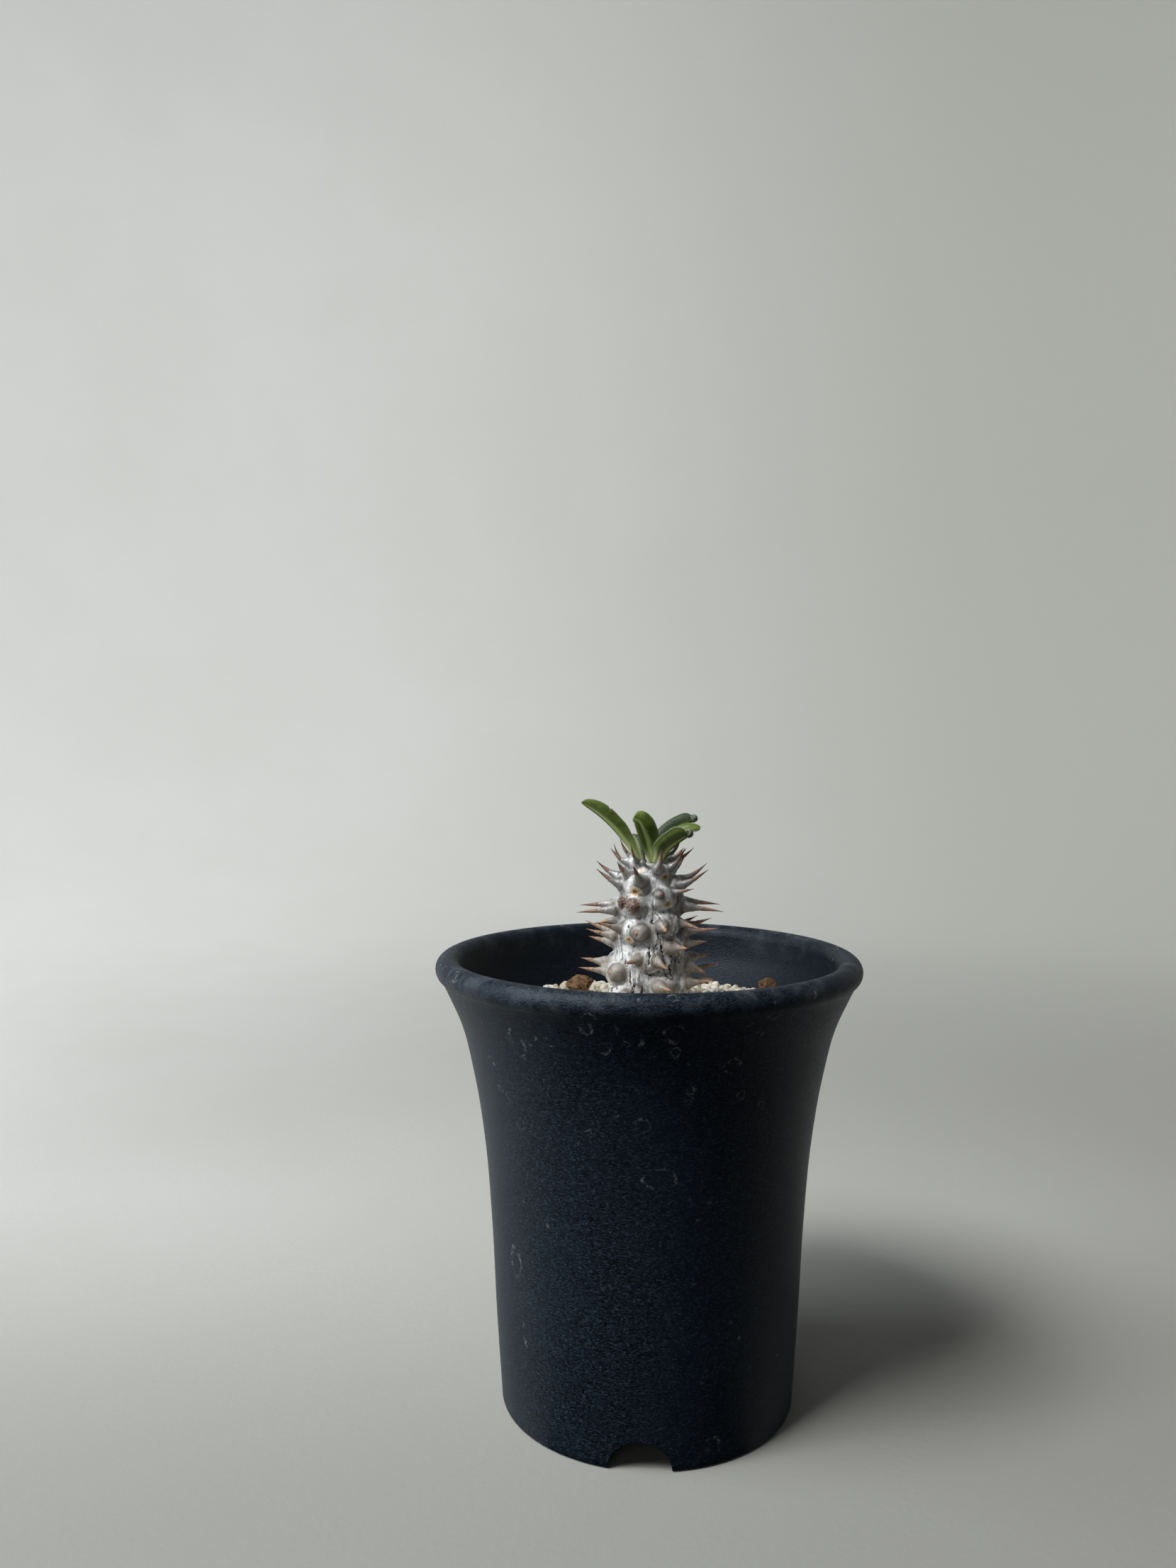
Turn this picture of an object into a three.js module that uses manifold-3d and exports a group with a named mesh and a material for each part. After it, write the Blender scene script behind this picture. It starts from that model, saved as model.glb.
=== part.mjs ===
// A young Pachypodium tackyi in a flared plastic pot, in millimetres, +Z up.
// The origin is the middle of the pot's foot. The plant's best side faces -Y.
import * as THREE from 'three';
import { mergeVertices } from 'three/addons/utils/BufferGeometryUtils.js';
import Module from 'manifold-3d';

const wasm = await Module();
wasm.setup();

// Pot
const POT_HEIGHT = 80.3;
const RIM_RADIUS = 38;
const POT_SIDES = 48;
const LIP_RADIUS = 2.2;
const WALL = 2.2;
const FOOT_CHAMFER = 0.6;
const SKIRT_HEIGHT = 10;
const FLOOR_THICKNESS = 2;
const OUTER_WALL = [[16, 27.2], [32, 28], [48, 29.35], [60, 31.3], [69, 33.6], [74.6, 36.1]];
const FOOT_RADIUS = 26.2;
const NOTCH_COUNT = 3;
const NOTCH_RADIUS = 5.3;
const NOTCH_TURN = -2.3;
const NOTCH_SIDES = 20;
const DRAIN_RADIUS = 4;
const DRAIN_RING = 14;
const DRAIN_RING_HOLES = 6;
const DRAIN_SIDES = 12;

// What fills the pot
const CLEARANCE = 0.3;
const FILL_SIDES = 36;
const MEDIUM_TOP = 65.4;
const GRAVEL_TOP = 68.6;
const GRAIN_RADIUS = 2;
const GRAIN_SPACING = 4.3;
const PUMICE = {
  pumice_left: { place: [-13.3, 17.3], size: [2.6, 2.2, 1.9], turn: 20 },
  pumice_right: { place: [23.3, 14.6], size: [2.1, 2.0, 1.8], turn: 65 },
};

// Stem: height and radius of the bark between the warts, from the root's end to the growing tip
const STEM_OUTLINE = [
  [44, 1.6], [52, 4.4], [60, 6.3], [67, 7.1], [73, 6.9], [80, 6.1], [86.5, 5.5], [90.5, 5.2], [94, 4.4],
  [96.4, 3.4], [98, 2.3], [98.9, 1.1],
];
const ROOT_END = 42;
const STEM_TOP = 99.2;
const STEM_SIDES = 30;
const STEM_RING_STEP = 1.7;
const STEM_LEAN = 0.3;

// Warts on the side that faces -Y. Turn is in degrees from -Y towards +X. Lift is how steeply the two
// spines rise. Left and right are how far each spine's tip stands off the bark, and 0 is a dried stump.
const WARTS = [
  { turn: -48, height: 96.8, lift: 0.9, left: 4.9, right: 4.2, scale: 0.75 },
  { turn: -13, height: 97, lift: 1.5, left: 3.8, right: 2.4, scale: 0.55 },
  { turn: 30, height: 95.6, lift: 1.05, left: 4.2, right: 5.2, scale: 0.85 },
  { turn: 66, height: 97, lift: 0.95, left: 4, right: 4, scale: 0.6 },
  { turn: -78, height: 93.4, lift: 0.6, left: 5.6, right: 5.6, scale: 1 },
  { turn: -24, height: 93.4, lift: 0.95, left: 4.6, right: 4.2, scale: 1 },
  { turn: 80, height: 93, lift: 0.55, left: 6.2, right: 6.2, scale: 1 },
  { turn: 31, height: 91, lift: 0.2, left: 2.8, right: 5, scale: 1 },
  { turn: -30, height: 89.6, lift: -0.1, left: 0, right: 0, scale: 1.1 },
  { turn: -88, height: 88.8, lift: -0.05, left: 7.4, right: 7.4, scale: 1.05 },
  { turn: 88, height: 89.2, lift: -0.1, left: 7.9, right: 7.6, scale: 1.05 },
  { turn: 35, height: 86.3, lift: -0.2, left: 3, right: 5, scale: 1.05 },
  { turn: -28, height: 85, lift: 0.15, left: 5.2, right: 0, scale: 1.05 },
  { turn: -90, height: 83.4, lift: 0.3, left: 5.2, right: 5.4, scale: 0.95 },
  { turn: 90, height: 85, lift: 0.1, left: 5.6, right: 5.2, scale: 0.9 },
  { turn: 47, height: 82.4, lift: 0.05, left: 3.4, right: 4.8, scale: 1 },
  { turn: 0, height: 80, lift: -0.1, left: 4.4, right: 3.8, scale: 1.05 },
  { turn: -101, height: 78.6, lift: 0.2, left: 5, right: 5.2, scale: 0.95 },
  { turn: -57, height: 77.4, lift: 0.15, left: 5.8, right: 0, scale: 1.1 },
  { turn: 82, height: 79, lift: 0, left: 4, right: 4.6, scale: 1 },
  { turn: 30, height: 75.2, lift: 0, left: 3.2, right: 3.4, scale: 1.1 },
  { turn: 74, height: 75.4, lift: 0.1, left: 4.6, right: 4.8, scale: 1 },
  { turn: -42, height: 74, lift: 0.05, left: 2.6, right: 2.8, scale: 1 },
];
const WART_HALF_WIDTH = 2.5;
const WART_HALF_HEIGHT = 2;
const WART_RISE = 1.1;
const LOBE_RADIUS = 1.35;
const LOBE_SPREAD = 1.35;
const SPINE_SPLAY = 0.5;
const LOBE_SIDES = 5;

// Leaves: the midrib's points, which way each half of the blade spreads from it, and how wide it is
const BLADE = 0.65;
const LEAF_STEPS = 9;
const LEAVES = {
  leaf_left: {
    midrib: [
      [-2.6, -1.9, 98.2], [-3.7, -2.4, 99.8], [-5.2, -2.8, 101.8],
      [-7.3, -3.3, 104.1], [-9.6, -3.6, 106], [-11.8, -3.7, 107.4],
    ],
    right: { toward: [0.6, 0.25, 0.75], width: 2.5 },
    left: { toward: [-0.25, 0.9, -0.2], width: 2 },
  },
  leaf_middle: {
    midrib: [
      [0.3, -2.1, 98.7], [-0.1, -2.7, 100], [-0.6, -3.3, 101.7],
      [-1.1, -3.8, 103.4], [-1.7, -4.1, 104.7], [-2.6, -4.4, 105.3],
    ],
    right: { toward: [1, 0.75, 0.1], width: 2.8 },
    left: { toward: [-0.45, -0.9, 0.1], width: 1.9 },
  },
  leaf_right: {
    midrib: [
      [2.2, -1.9, 98.4], [3.15, -3.1, 99.4], [4.2, -4.1, 100.6],
      [5.4, -4.9, 101.6], [6.4, -5.3, 102.1], [7.1, -5.5, 102.3],
    ],
    right: { toward: [0.55, 0.8, -0.3], width: 1.6 },
    left: { toward: [-0.72, -0.6, 0.45], width: 3 },
    curl: 0.8,
  },
  leaf_back_right: {
    midrib: [
      [1.7, 1.6, 98.6], [2.8, 2.6, 101], [4.9, 3.7, 102.9],
      [6.9, 4.3, 103.8], [8.4, 4.6, 104.3],
    ],
    right: { toward: [0.3, 0.9, -0.3], width: 1.8 },
    left: { toward: [-0.45, 0.3, 0.8], width: 2.3 },
    curl: 0.75,
  },
  leaf_side_right: {
    midrib: [
      [2.5, -0.1, 98.6], [3.7, -0.2, 100.6], [5.4, -0.5, 102.3],
      [7.4, -0.8, 103.1], [9.3, -1, 102.9],
    ],
    right: { toward: [0.1, -0.8, -0.5], width: 1.2 },
    left: { toward: [-0.2, 0.85, 0.4], width: 1.7 },
  },
  leaf_back_left: {
    midrib: [
      [-1.3, 1.5, 98.6], [-1.7, 2.3, 99.7], [-2.1, 3.2, 101],
      [-2.8, 4, 102],
    ],
    right: { toward: [0.95, 0.3, 0], width: 1.5 },
    left: { toward: [-0.85, 0.3, 0.2], width: 1.4 },
  },
};

const group = new THREE.Group();

// Adds one piece under its name, with its colour, roughness and metalness.
function addPiece(name, geometry, colour, roughness) {
  const material = new THREE.MeshStandardMaterial({ color: colour, roughness, metalness: 0 });
  const mesh = new THREE.Mesh(geometry, material);
  mesh.name = name;
  group.add(mesh);
}

// Numbers from 0 to 1 that come out the same on every run.
function seededRandom(seed) {
  let state = seed;
  return () => {
    state = (state * 1664525 + 1013904223) % 4294967296;
    return state / 4294967296;
  };
}

// Six times a closed mesh's volume, which is negative when its faces point inwards.
function signedVolume(geometry) {
  const place = geometry.attributes.position;
  const corners = geometry.index.array;
  const [a, b, c] = [new THREE.Vector3(), new THREE.Vector3(), new THREE.Vector3()];
  let volume = 0;
  for (let i = 0; i < corners.length; i += 3) {
    a.fromBufferAttribute(place, corners[i]);
    b.fromBufferAttribute(place, corners[i + 1]);
    c.fromBufferAttribute(place, corners[i + 2]);
    volume += a.dot(b.cross(c));
  }
  return volume;
}

// Drops normals and texture places, joins equal corners and turns every face outwards.
function closed(geometry) {
  const bare = geometry.clone();
  bare.deleteAttribute('normal');
  bare.deleteAttribute('uv');
  const merged = mergeVertices(bare, 1e-4);
  const corners = merged.index.array;
  const kept = [];
  for (let i = 0; i < corners.length; i += 3) {
    const [a, b, c] = [corners[i], corners[i + 1], corners[i + 2]];
    if (a !== b && b !== c && c !== a) kept.push(a, b, c);
  }
  merged.setIndex(kept);
  if (signedVolume(merged) < 0) {
    for (let i = 0; i < kept.length; i += 3) [kept[i], kept[i + 1]] = [kept[i + 1], kept[i]];
    merged.setIndex(kept);
  }
  return merged;
}

function solid(geometry) {
  const shape = closed(geometry);
  return new wasm.Manifold(new wasm.Mesh({
    numProp: 3,
    vertProperties: new Float32Array(shape.attributes.position.array),
    triVerts: new Uint32Array(shape.index.array),
  }));
}

function geometryOf(manifold) {
  const mesh = manifold.getMesh();
  const geometry = new THREE.BufferGeometry();
  geometry.setAttribute('position', new THREE.BufferAttribute(mesh.vertProperties, 3));
  geometry.setIndex(new THREE.BufferAttribute(mesh.triVerts, 1));
  return geometry;
}

// A solid of revolution about +Z from points given as [radius, height].
function turned(points, sides) {
  const outline = points.map(([radius, height]) => new THREE.Vector2(radius, height));
  return new THREE.LatheGeometry(outline, sides).rotateX(Math.PI / 2);
}

// Radius at a height, read along straight lines between [height, radius] points.
function radiusAt(outline, height) {
  const next = outline.findIndex(([level]) => level >= height);
  if (next === 0) return outline[0][1];
  if (next < 0) return outline[outline.length - 1][1];
  const [lowLevel, low] = outline[next - 1];
  const [highLevel, high] = outline[next];
  return THREE.MathUtils.mapLinear(height, lowLevel, highLevel, low, high);
}

function direction(turn) {
  const angle = THREE.MathUtils.degToRad(turn);
  return new THREE.Vector3(Math.sin(angle), -Math.cos(angle), 0);
}

// Moves a shape that stands on the origin along +Z so that it points along an axis from a place.
function aimed(geometry, axis, place) {
  const standing = new THREE.Vector3(0, 0, 1);
  const turn = new THREE.Quaternion().setFromUnitVectors(standing, axis.clone().normalize());
  return geometry.applyQuaternion(turn).translate(place.x, place.y, place.z);
}

const floorTop = SKIRT_HEIGHT + FLOOR_THICKNESS;
const outerWall = [[FOOT_CHAMFER, FOOT_RADIUS], ...OUTER_WALL];
const innerWall = outerWall.map(([height, radius]) => [height, radius - WALL]);

// The pot's wall, rolled lip and raised floor turned in one, then its foot notches and drain holes.
function makePot() {
  const lipCentre = [RIM_RADIUS - LIP_RADIUS, POT_HEIGHT - LIP_RADIUS];
  const lip = [];
  for (let angle = -60; angle <= 180; angle += 30) {
    const turn = THREE.MathUtils.degToRad(angle);
    lip.push([lipCentre[0] + LIP_RADIUS * Math.cos(turn), lipCentre[1] + LIP_RADIUS * Math.sin(turn)]);
  }
  const inside = innerWall.filter(([height]) => height > floorTop).reverse();
  const skirtInside = radiusAt(innerWall, SKIRT_HEIGHT);
  let pot = solid(turned([
    [0, SKIRT_HEIGHT], [skirtInside, SKIRT_HEIGHT],
    [FOOT_RADIUS - WALL, 0], [FOOT_RADIUS - FOOT_CHAMFER, 0],
    ...outerWall.map(([height, radius]) => [radius, height]),
    ...lip,
    ...inside.map(([height, radius]) => [radius, height]),
    [radiusAt(innerWall, floorTop), floorTop], [0, floorTop],
  ], POT_SIDES));
  for (let notch = 0; notch < NOTCH_COUNT; notch += 1) {
    const outward = direction(NOTCH_TURN + (360 / NOTCH_COUNT) * notch);
    const cutter = new THREE.CylinderGeometry(NOTCH_RADIUS, NOTCH_RADIUS, 4 * WALL, NOTCH_SIDES);
    const middle = outward.clone().multiplyScalar(FOOT_RADIUS - WALL / 2);
    pot = pot.subtract(solid(aimed(cutter.rotateX(Math.PI / 2), outward, middle)));
  }
  const drill = new THREE.CylinderGeometry(DRAIN_RADIUS, DRAIN_RADIUS, 3 * FLOOR_THICKNESS, DRAIN_SIDES);
  drill.rotateX(Math.PI / 2).translate(0, 0, SKIRT_HEIGHT + FLOOR_THICKNESS / 2);
  pot = pot.subtract(solid(drill));
  for (let hole = 0; hole < DRAIN_RING_HOLES; hole += 1) {
    const place = direction(NOTCH_TURN + (360 / DRAIN_RING_HOLES) * hole).multiplyScalar(DRAIN_RING);
    pot = pot.subtract(solid(drill.clone().translate(place.x, place.y, 0)));
  }
  return geometryOf(pot);
}

// The growing mix under the gravel, with a plain hole for the root.
function makeMedium() {
  const bottom = floorTop + CLEARANCE;
  const levels = innerWall.filter(([height]) => height > bottom && height < MEDIUM_TOP);
  const hole = STEM_OUTLINE.filter(([height]) => height < MEDIUM_TOP).reverse();
  return closed(turned([
    [0, bottom], [radiusAt(innerWall, bottom) - CLEARANCE, bottom],
    ...levels.map(([height, radius]) => [radius - CLEARANCE, height]),
    [radiusAt(innerWall, MEDIUM_TOP) - CLEARANCE, MEDIUM_TOP],
    [radiusAt(STEM_OUTLINE, MEDIUM_TOP) + 2 * CLEARANCE, MEDIUM_TOP],
    ...hole.map(([height, radius]) => [radius + 2 * CLEARANCE, height]),
    [0, ROOT_END - CLEARANCE],
  ], FILL_SIDES));
}

// A stone with flat, uneven faces.
function roughStone(ball, size, random) {
  const stone = mergeVertices(ball.deleteAttribute('normal').deleteAttribute('uv'), 1e-3);
  const place = stone.attributes.position;
  for (let i = 0; i < place.count; i += 1) {
    const swell = 0.86 + 0.28 * random();
    place.setXYZ(i, place.getX(i) * swell, place.getY(i) * swell, place.getZ(i) * swell);
  }
  stone.rotateX(Math.PI * random()).rotateZ(2 * Math.PI * random());
  stone.scale(...size);
  return stone;
}

// White gravel: one layer with its grains half sunk in it, clear of the stem, the wall and the pumice.
function makeGravel() {
  const random = seededRandom(41);
  const bottom = MEDIUM_TOP + CLEARANCE;
  const edge = radiusAt(innerWall, GRAVEL_TOP) - 2 * CLEARANCE;
  const hole = radiusAt(STEM_OUTLINE, bottom) + 2 * CLEARANCE;
  const lowEdge = radiusAt(innerWall, bottom) - 2 * CLEARANCE;
  const layer = [
    [hole, bottom], [lowEdge, bottom], [edge, GRAVEL_TOP], [hole, GRAVEL_TOP], [hole, bottom],
  ];
  const grains = [solid(turned(layer, FILL_SIDES))];
  const innerRing = hole + GRAIN_RADIUS;
  const outerRing = edge - 1.15 * GRAIN_RADIUS;
  const rings = Math.round((outerRing - innerRing) / (0.9 * GRAIN_SPACING));
  for (let ring = 0; ring <= rings; ring += 1) {
    const reach = THREE.MathUtils.lerp(innerRing, outerRing, ring / rings);
    const count = Math.floor((2 * Math.PI * reach) / GRAIN_SPACING);
    for (let grain = 0; grain < count; grain += 1) {
      const turn = (360 * (grain + 0.3 * random() + 0.5 * (ring % 2))) / count;
      const place = direction(turn).multiplyScalar(reach);
      const radius = GRAIN_RADIUS * (0.8 + 0.2 * random());
      const size = [radius, radius * (0.8 + 0.2 * random()), radius * (0.75 + 0.2 * random())];
      const stone = roughStone(new THREE.IcosahedronGeometry(1), size, random);
      const nearPumice = Object.values(PUMICE).some((chunk) => {
        const apart = Math.hypot(place.x - chunk.place[0], place.y - chunk.place[1]);
        return apart < 1.2 * chunk.size[0] + radius + CLEARANCE;
      });
      stone.translate(place.x, place.y, GRAVEL_TOP + 0.3 * random());
      if (!nearPumice) grains.push(solid(stone));
    }
  }
  return geometryOf(wasm.Manifold.union(grains));
}

function makePumice({ place, size, turn }, seed) {
  const stone = roughStone(new THREE.IcosahedronGeometry(1, 1), size, seededRandom(seed));
  stone.rotateZ(THREE.MathUtils.degToRad(turn));
  stone.computeBoundingBox();
  return closed(stone.translate(place[0], place[1], GRAVEL_TOP + CLEARANCE - stone.boundingBox.min.z));
}

// The point of the bark at a turn and height, with the directions out from it, along it and up it.
function barkAt(turn, height) {
  const outward = direction(turn);
  const lean = THREE.MathUtils.mapLinear(height, GRAVEL_TOP, STEM_TOP, 0, STEM_LEAN);
  const place = outward.clone().multiplyScalar(radiusAt(STEM_OUTLINE, height));
  place.add(new THREE.Vector3(Math.max(lean, 0), 0, height));
  return { place, outward, sideways: direction(turn + 90), upward: new THREE.Vector3(0, 0, 1) };
}

// One swollen lobe with its spine, or with a dried stump where the spine has broken off.
function makeLobe(bark, side, wart, reach) {
  const { place, outward, sideways, upward } = bark;
  const size = LOBE_RADIUS * wart.scale;
  const seat = place.clone().addScaledVector(sideways, side * LOBE_SPREAD * wart.scale);
  seat.addScaledVector(outward, 0.45 * WART_RISE * wart.scale);
  seat.addScaledVector(upward, 0.5 * wart.scale);
  const axis = outward.clone().addScaledVector(sideways, side * SPINE_SPLAY);
  axis.addScaledVector(upward, wart.lift);
  const outline = reach > 0
    ? [[0, -1.4 * size], [size, -0.1 * size], [0.85 * size, 0.7 * size], [0.3 * size, 1.4 * size], [0, reach]]
    : [[0, -1.4 * size], [1.1 * size, -0.1 * size], [0.9 * size, 0.8 * size], [0, 1.25 * size]];
  return solid(aimed(turned(outline, LOBE_SIDES), axis, seat));
}

// The hidden side repeats the seen warts that face the viewer most, half a turn round and a little lower.
function hiddenWarts() {
  const random = seededRandom(7);
  return WARTS.filter(({ turn }) => Math.abs(turn) < 70).map((wart) => ({
    ...wart,
    turn: wart.turn + 180 + 8 * (random() - 0.5),
    height: wart.height - 0.9 * random(),
    lift: wart.lift + 0.2 * (random() - 0.5),
    left: wart.left > 0 ? 4 + 1.4 * random() : 5,
    right: wart.right > 0 ? 4 + 1.4 * random() : 0,
  }));
}

// How far the bark swells at a place: a broad low mound under each pair of lobes.
function wartRise(turn, height, warts) {
  const radius = radiusAt(STEM_OUTLINE, height);
  const rises = warts.map((wart) => {
    const around = THREE.MathUtils.euclideanModulo(turn - wart.turn + 180, 360) - 180;
    const across = (THREE.MathUtils.degToRad(around) * radius) / (WART_HALF_WIDTH * wart.scale);
    const up = (height - wart.height) / (WART_HALF_HEIGHT * wart.scale);
    return WART_RISE * wart.scale * Math.max(0, 1 - across ** 2 - up ** 2) ** 0.6;
  });
  return Math.max(0, ...rises);
}

function makeStem() {
  const warts = [...WARTS, ...hiddenWarts()];
  const levels = STEM_OUTLINE.filter(([height]) => height < MEDIUM_TOP).map(([height]) => height);
  for (let height = MEDIUM_TOP; height < STEM_TOP; height += STEM_RING_STEP) levels.push(height);
  const body = turned([
    [0, ROOT_END], ...levels.map((height) => [radiusAt(STEM_OUTLINE, height), height]), [0, STEM_TOP],
  ], STEM_SIDES);
  const place = body.attributes.position;
  for (let i = 0; i < place.count; i += 1) {
    const [x, y, z] = [place.getX(i), place.getY(i), place.getZ(i)];
    const turn = THREE.MathUtils.radToDeg(Math.atan2(x, -y));
    const radius = Math.hypot(x, y);
    const swell = radius > 0 && z > GRAVEL_TOP ? 1 + wartRise(turn, z, warts) / radius : 1;
    const lean = THREE.MathUtils.mapLinear(z, GRAVEL_TOP, STEM_TOP, 0, STEM_LEAN);
    place.setXYZ(i, x * swell + Math.max(lean, 0), y * swell, z);
  }
  const lobes = warts.flatMap((wart) => {
    const bark = barkAt(wart.turn, wart.height);
    return [makeLobe(bark, -1, wart, wart.left), makeLobe(bark, 1, wart, wart.right)];
  });
  return geometryOf(wasm.Manifold.union([solid(body), ...lobes]));
}

// A leaf folded along its midrib. Both faces are cut into triangles the same way.
function makeLeaf({ midrib, left, right, curl }) {
  const line = new THREE.CatmullRomCurve3(midrib.map((point) => new THREE.Vector3(...point)));
  const points = [];
  for (let step = 0; step <= LEAF_STEPS; step += 1) {
    const along = step / LEAF_STEPS;
    const middle = line.getPointAt(along);
    const tangent = line.getTangentAt(along);
    const breadth = 0.22 + 0.78 * Math.sin(Math.PI * Math.min(1, 0.12 + 0.83 * along)) ** 0.7;
    const halves = [left, right].map(({ toward, width }) => {
      const spread = new THREE.Vector3(...toward);
      spread.addScaledVector(tangent, -spread.dot(tangent)).normalize();
      return spread.multiplyScalar(width * breadth);
    });
    const faces = [tangent.clone().cross(halves[0]).negate(), tangent.clone().cross(halves[1])];
    faces.forEach((face) => face.normalize());
    const fold = faces[0].clone().add(faces[1]).normalize();
    const upper = [middle.clone().add(halves[0]), middle, middle.clone().add(halves[1])];
    const lower = [
      upper[0].clone().addScaledVector(faces[0], BLADE),
      middle.clone().addScaledVector(fold, 1.35 * BLADE),
      upper[2].clone().addScaledVector(faces[1], BLADE),
    ];
    points.push(...upper, ...lower.reverse());
  }
  const ring = 6;
  const corners = [];
  const quads = (a, b, c, d) => corners.push(a, b, c, a, c, d);
  for (let step = 0; step < LEAF_STEPS; step += 1) {
    const here = step * ring;
    const there = here + ring;
    quads(here, here + 1, there + 1, there);
    quads(here + 1, here + 2, there + 2, there + 1);
    quads(here + 2, here + 3, there + 3, there + 2);
    corners.push(here + 3, here + 4, there + 3, here + 4, there + 4, there + 3);
    corners.push(here + 4, here + 5, there + 4, here + 5, there + 5, there + 4);
    quads(here + 5, here, there, there + 5);
  }
  const last = LEAF_STEPS * ring;
  corners.push(0, 5, 4, 0, 4, 1, 1, 4, 3, 1, 3, 2);
  corners.push(last, last + 4, last + 5, last, last + 1, last + 4);
  corners.push(last + 1, last + 3, last + 4, last + 1, last + 2, last + 3);
  const blade = new THREE.BufferGeometry().setFromPoints(points);
  blade.setIndex(corners);
  if (!curl) return closed(blade);
  const tip = line.getPointAt(1);
  const knob = new THREE.IcosahedronGeometry(curl, 0).translate(tip.x, tip.y, tip.z);
  return geometryOf(solid(blade).add(solid(knob)));
}

addPiece('pot', makePot(), 0x14181f, 0.55);
addPiece('growing_medium', makeMedium(), 0x6b4a33, 0.95);
addPiece('top_dressing', makeGravel(), 0xe4dfd2, 0.8);
Object.entries(PUMICE).forEach(([name, chunk], index) => {
  addPiece(name, makePumice(chunk, 11 + index), 0x86603c, 0.95);
});
addPiece('stem', makeStem(), 0xb9b6b0, 0.45);
Object.entries(LEAVES).forEach(([name, leaf]) => {
  addPiece(name, makeLeaf(leaf), 0x5c7d33, 0.5);
});

export default group;
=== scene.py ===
"""Looks of a young Pachypodium tackyi in a flared pot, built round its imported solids."""

import math
import random

import bmesh
import bpy
import numpy as np
from mathutils import Matrix, Vector, noise


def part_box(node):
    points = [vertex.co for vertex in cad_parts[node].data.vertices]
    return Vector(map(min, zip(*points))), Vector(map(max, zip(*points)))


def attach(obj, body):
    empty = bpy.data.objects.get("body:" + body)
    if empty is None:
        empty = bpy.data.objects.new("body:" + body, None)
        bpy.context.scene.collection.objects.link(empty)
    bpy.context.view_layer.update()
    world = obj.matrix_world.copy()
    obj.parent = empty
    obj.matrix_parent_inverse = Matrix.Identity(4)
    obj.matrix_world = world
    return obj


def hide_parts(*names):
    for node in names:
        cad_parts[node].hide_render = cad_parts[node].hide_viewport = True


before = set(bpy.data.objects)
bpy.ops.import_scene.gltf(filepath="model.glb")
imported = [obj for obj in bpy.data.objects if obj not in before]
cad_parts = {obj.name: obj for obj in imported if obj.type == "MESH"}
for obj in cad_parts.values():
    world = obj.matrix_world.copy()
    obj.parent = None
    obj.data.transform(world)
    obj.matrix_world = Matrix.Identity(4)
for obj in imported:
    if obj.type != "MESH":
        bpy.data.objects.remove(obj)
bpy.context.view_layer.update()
finishes = {}

# Shapes are made in millimetres and turned into metres when their piece is finished.
MM = 0.001
POT_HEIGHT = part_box("pot")[1].z / MM
RIM_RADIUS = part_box("pot")[1].x / MM

# Pot
LIP_RADIUS = 2.2
WALL = 2.2
FOOT_RADIUS = 26.2
FOOT_ROUNDING = 0.6
SKIRT_HEIGHT = 10
FLOOR_THICKNESS = 2
OUTER_WALL = [(0.6, 26.2), (16, 27.2), (32, 28), (48, 29.35), (60, 31.3), (69, 33.6), (74.6, 36.1)]
NOTCH_COUNT = 3
NOTCH_RADIUS = 5.3
NOTCH_TURN = -2.3
DRAIN_RADIUS = 4
DRAIN_RING = 14
DRAIN_RING_HOLES = 6

# Outlines of dried water drops on the pot: turn, height, radius and how tall they are for their width
DRIED_DROPS = [
    (-37.5, 70.3, 1.5, 2), (-15.2, 74.6, 1, 0.9), (-9, 74.8, 1, 0.9), (-2.7, 72.4, 0.7, 1),
    (6.8, 74, 1.6, 0.9), (3.8, 49.4, 2.7, 0.6), (-51.7, 30.3, 1.5, 1.6), (-47.4, 18.7, 0.9, 1.7),
    (24, 4, 1.3, 0.9),
]

# How much taller than its solid a pumice chunk stands
PUMICE_TALLER = {"pumice_left": 0, "pumice_right": 0.6}

# Gravel; its mound and its hollow are x, y, height and squared width
GRAVEL_LEVEL = 69.2
GRAVEL_BED = 65.8
GRAVEL_MOUND = (10, 9, 2.5, 75)
GRAVEL_HOLLOW = (-18, 10, -0.5, 130)
GRAIN_RADIUS = (0.7, 1.25)
GRAIN_SPACING = 1.62
GRAIN_FACETS = 7
GRAIN_SPANS = ((0.8, 1.15), (0.85, 1.2), (0.7, 0.95))

# Stem: height and radius of the bark between the warts
STEM_OUTLINE = [
    (44, 1.6), (52, 4.4), (60, 6.3), (67, 7.1), (73, 6.9), (80, 6.1), (86.5, 5.5), (90.5, 5.2),
    (94, 4.4), (96.4, 3.4), (98, 2.3), (98.9, 1.1), (99.2, 0.05),
]
STEM_TOP = 99.2
STEM_LEAN = 0.3
BARK_START = 66

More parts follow.
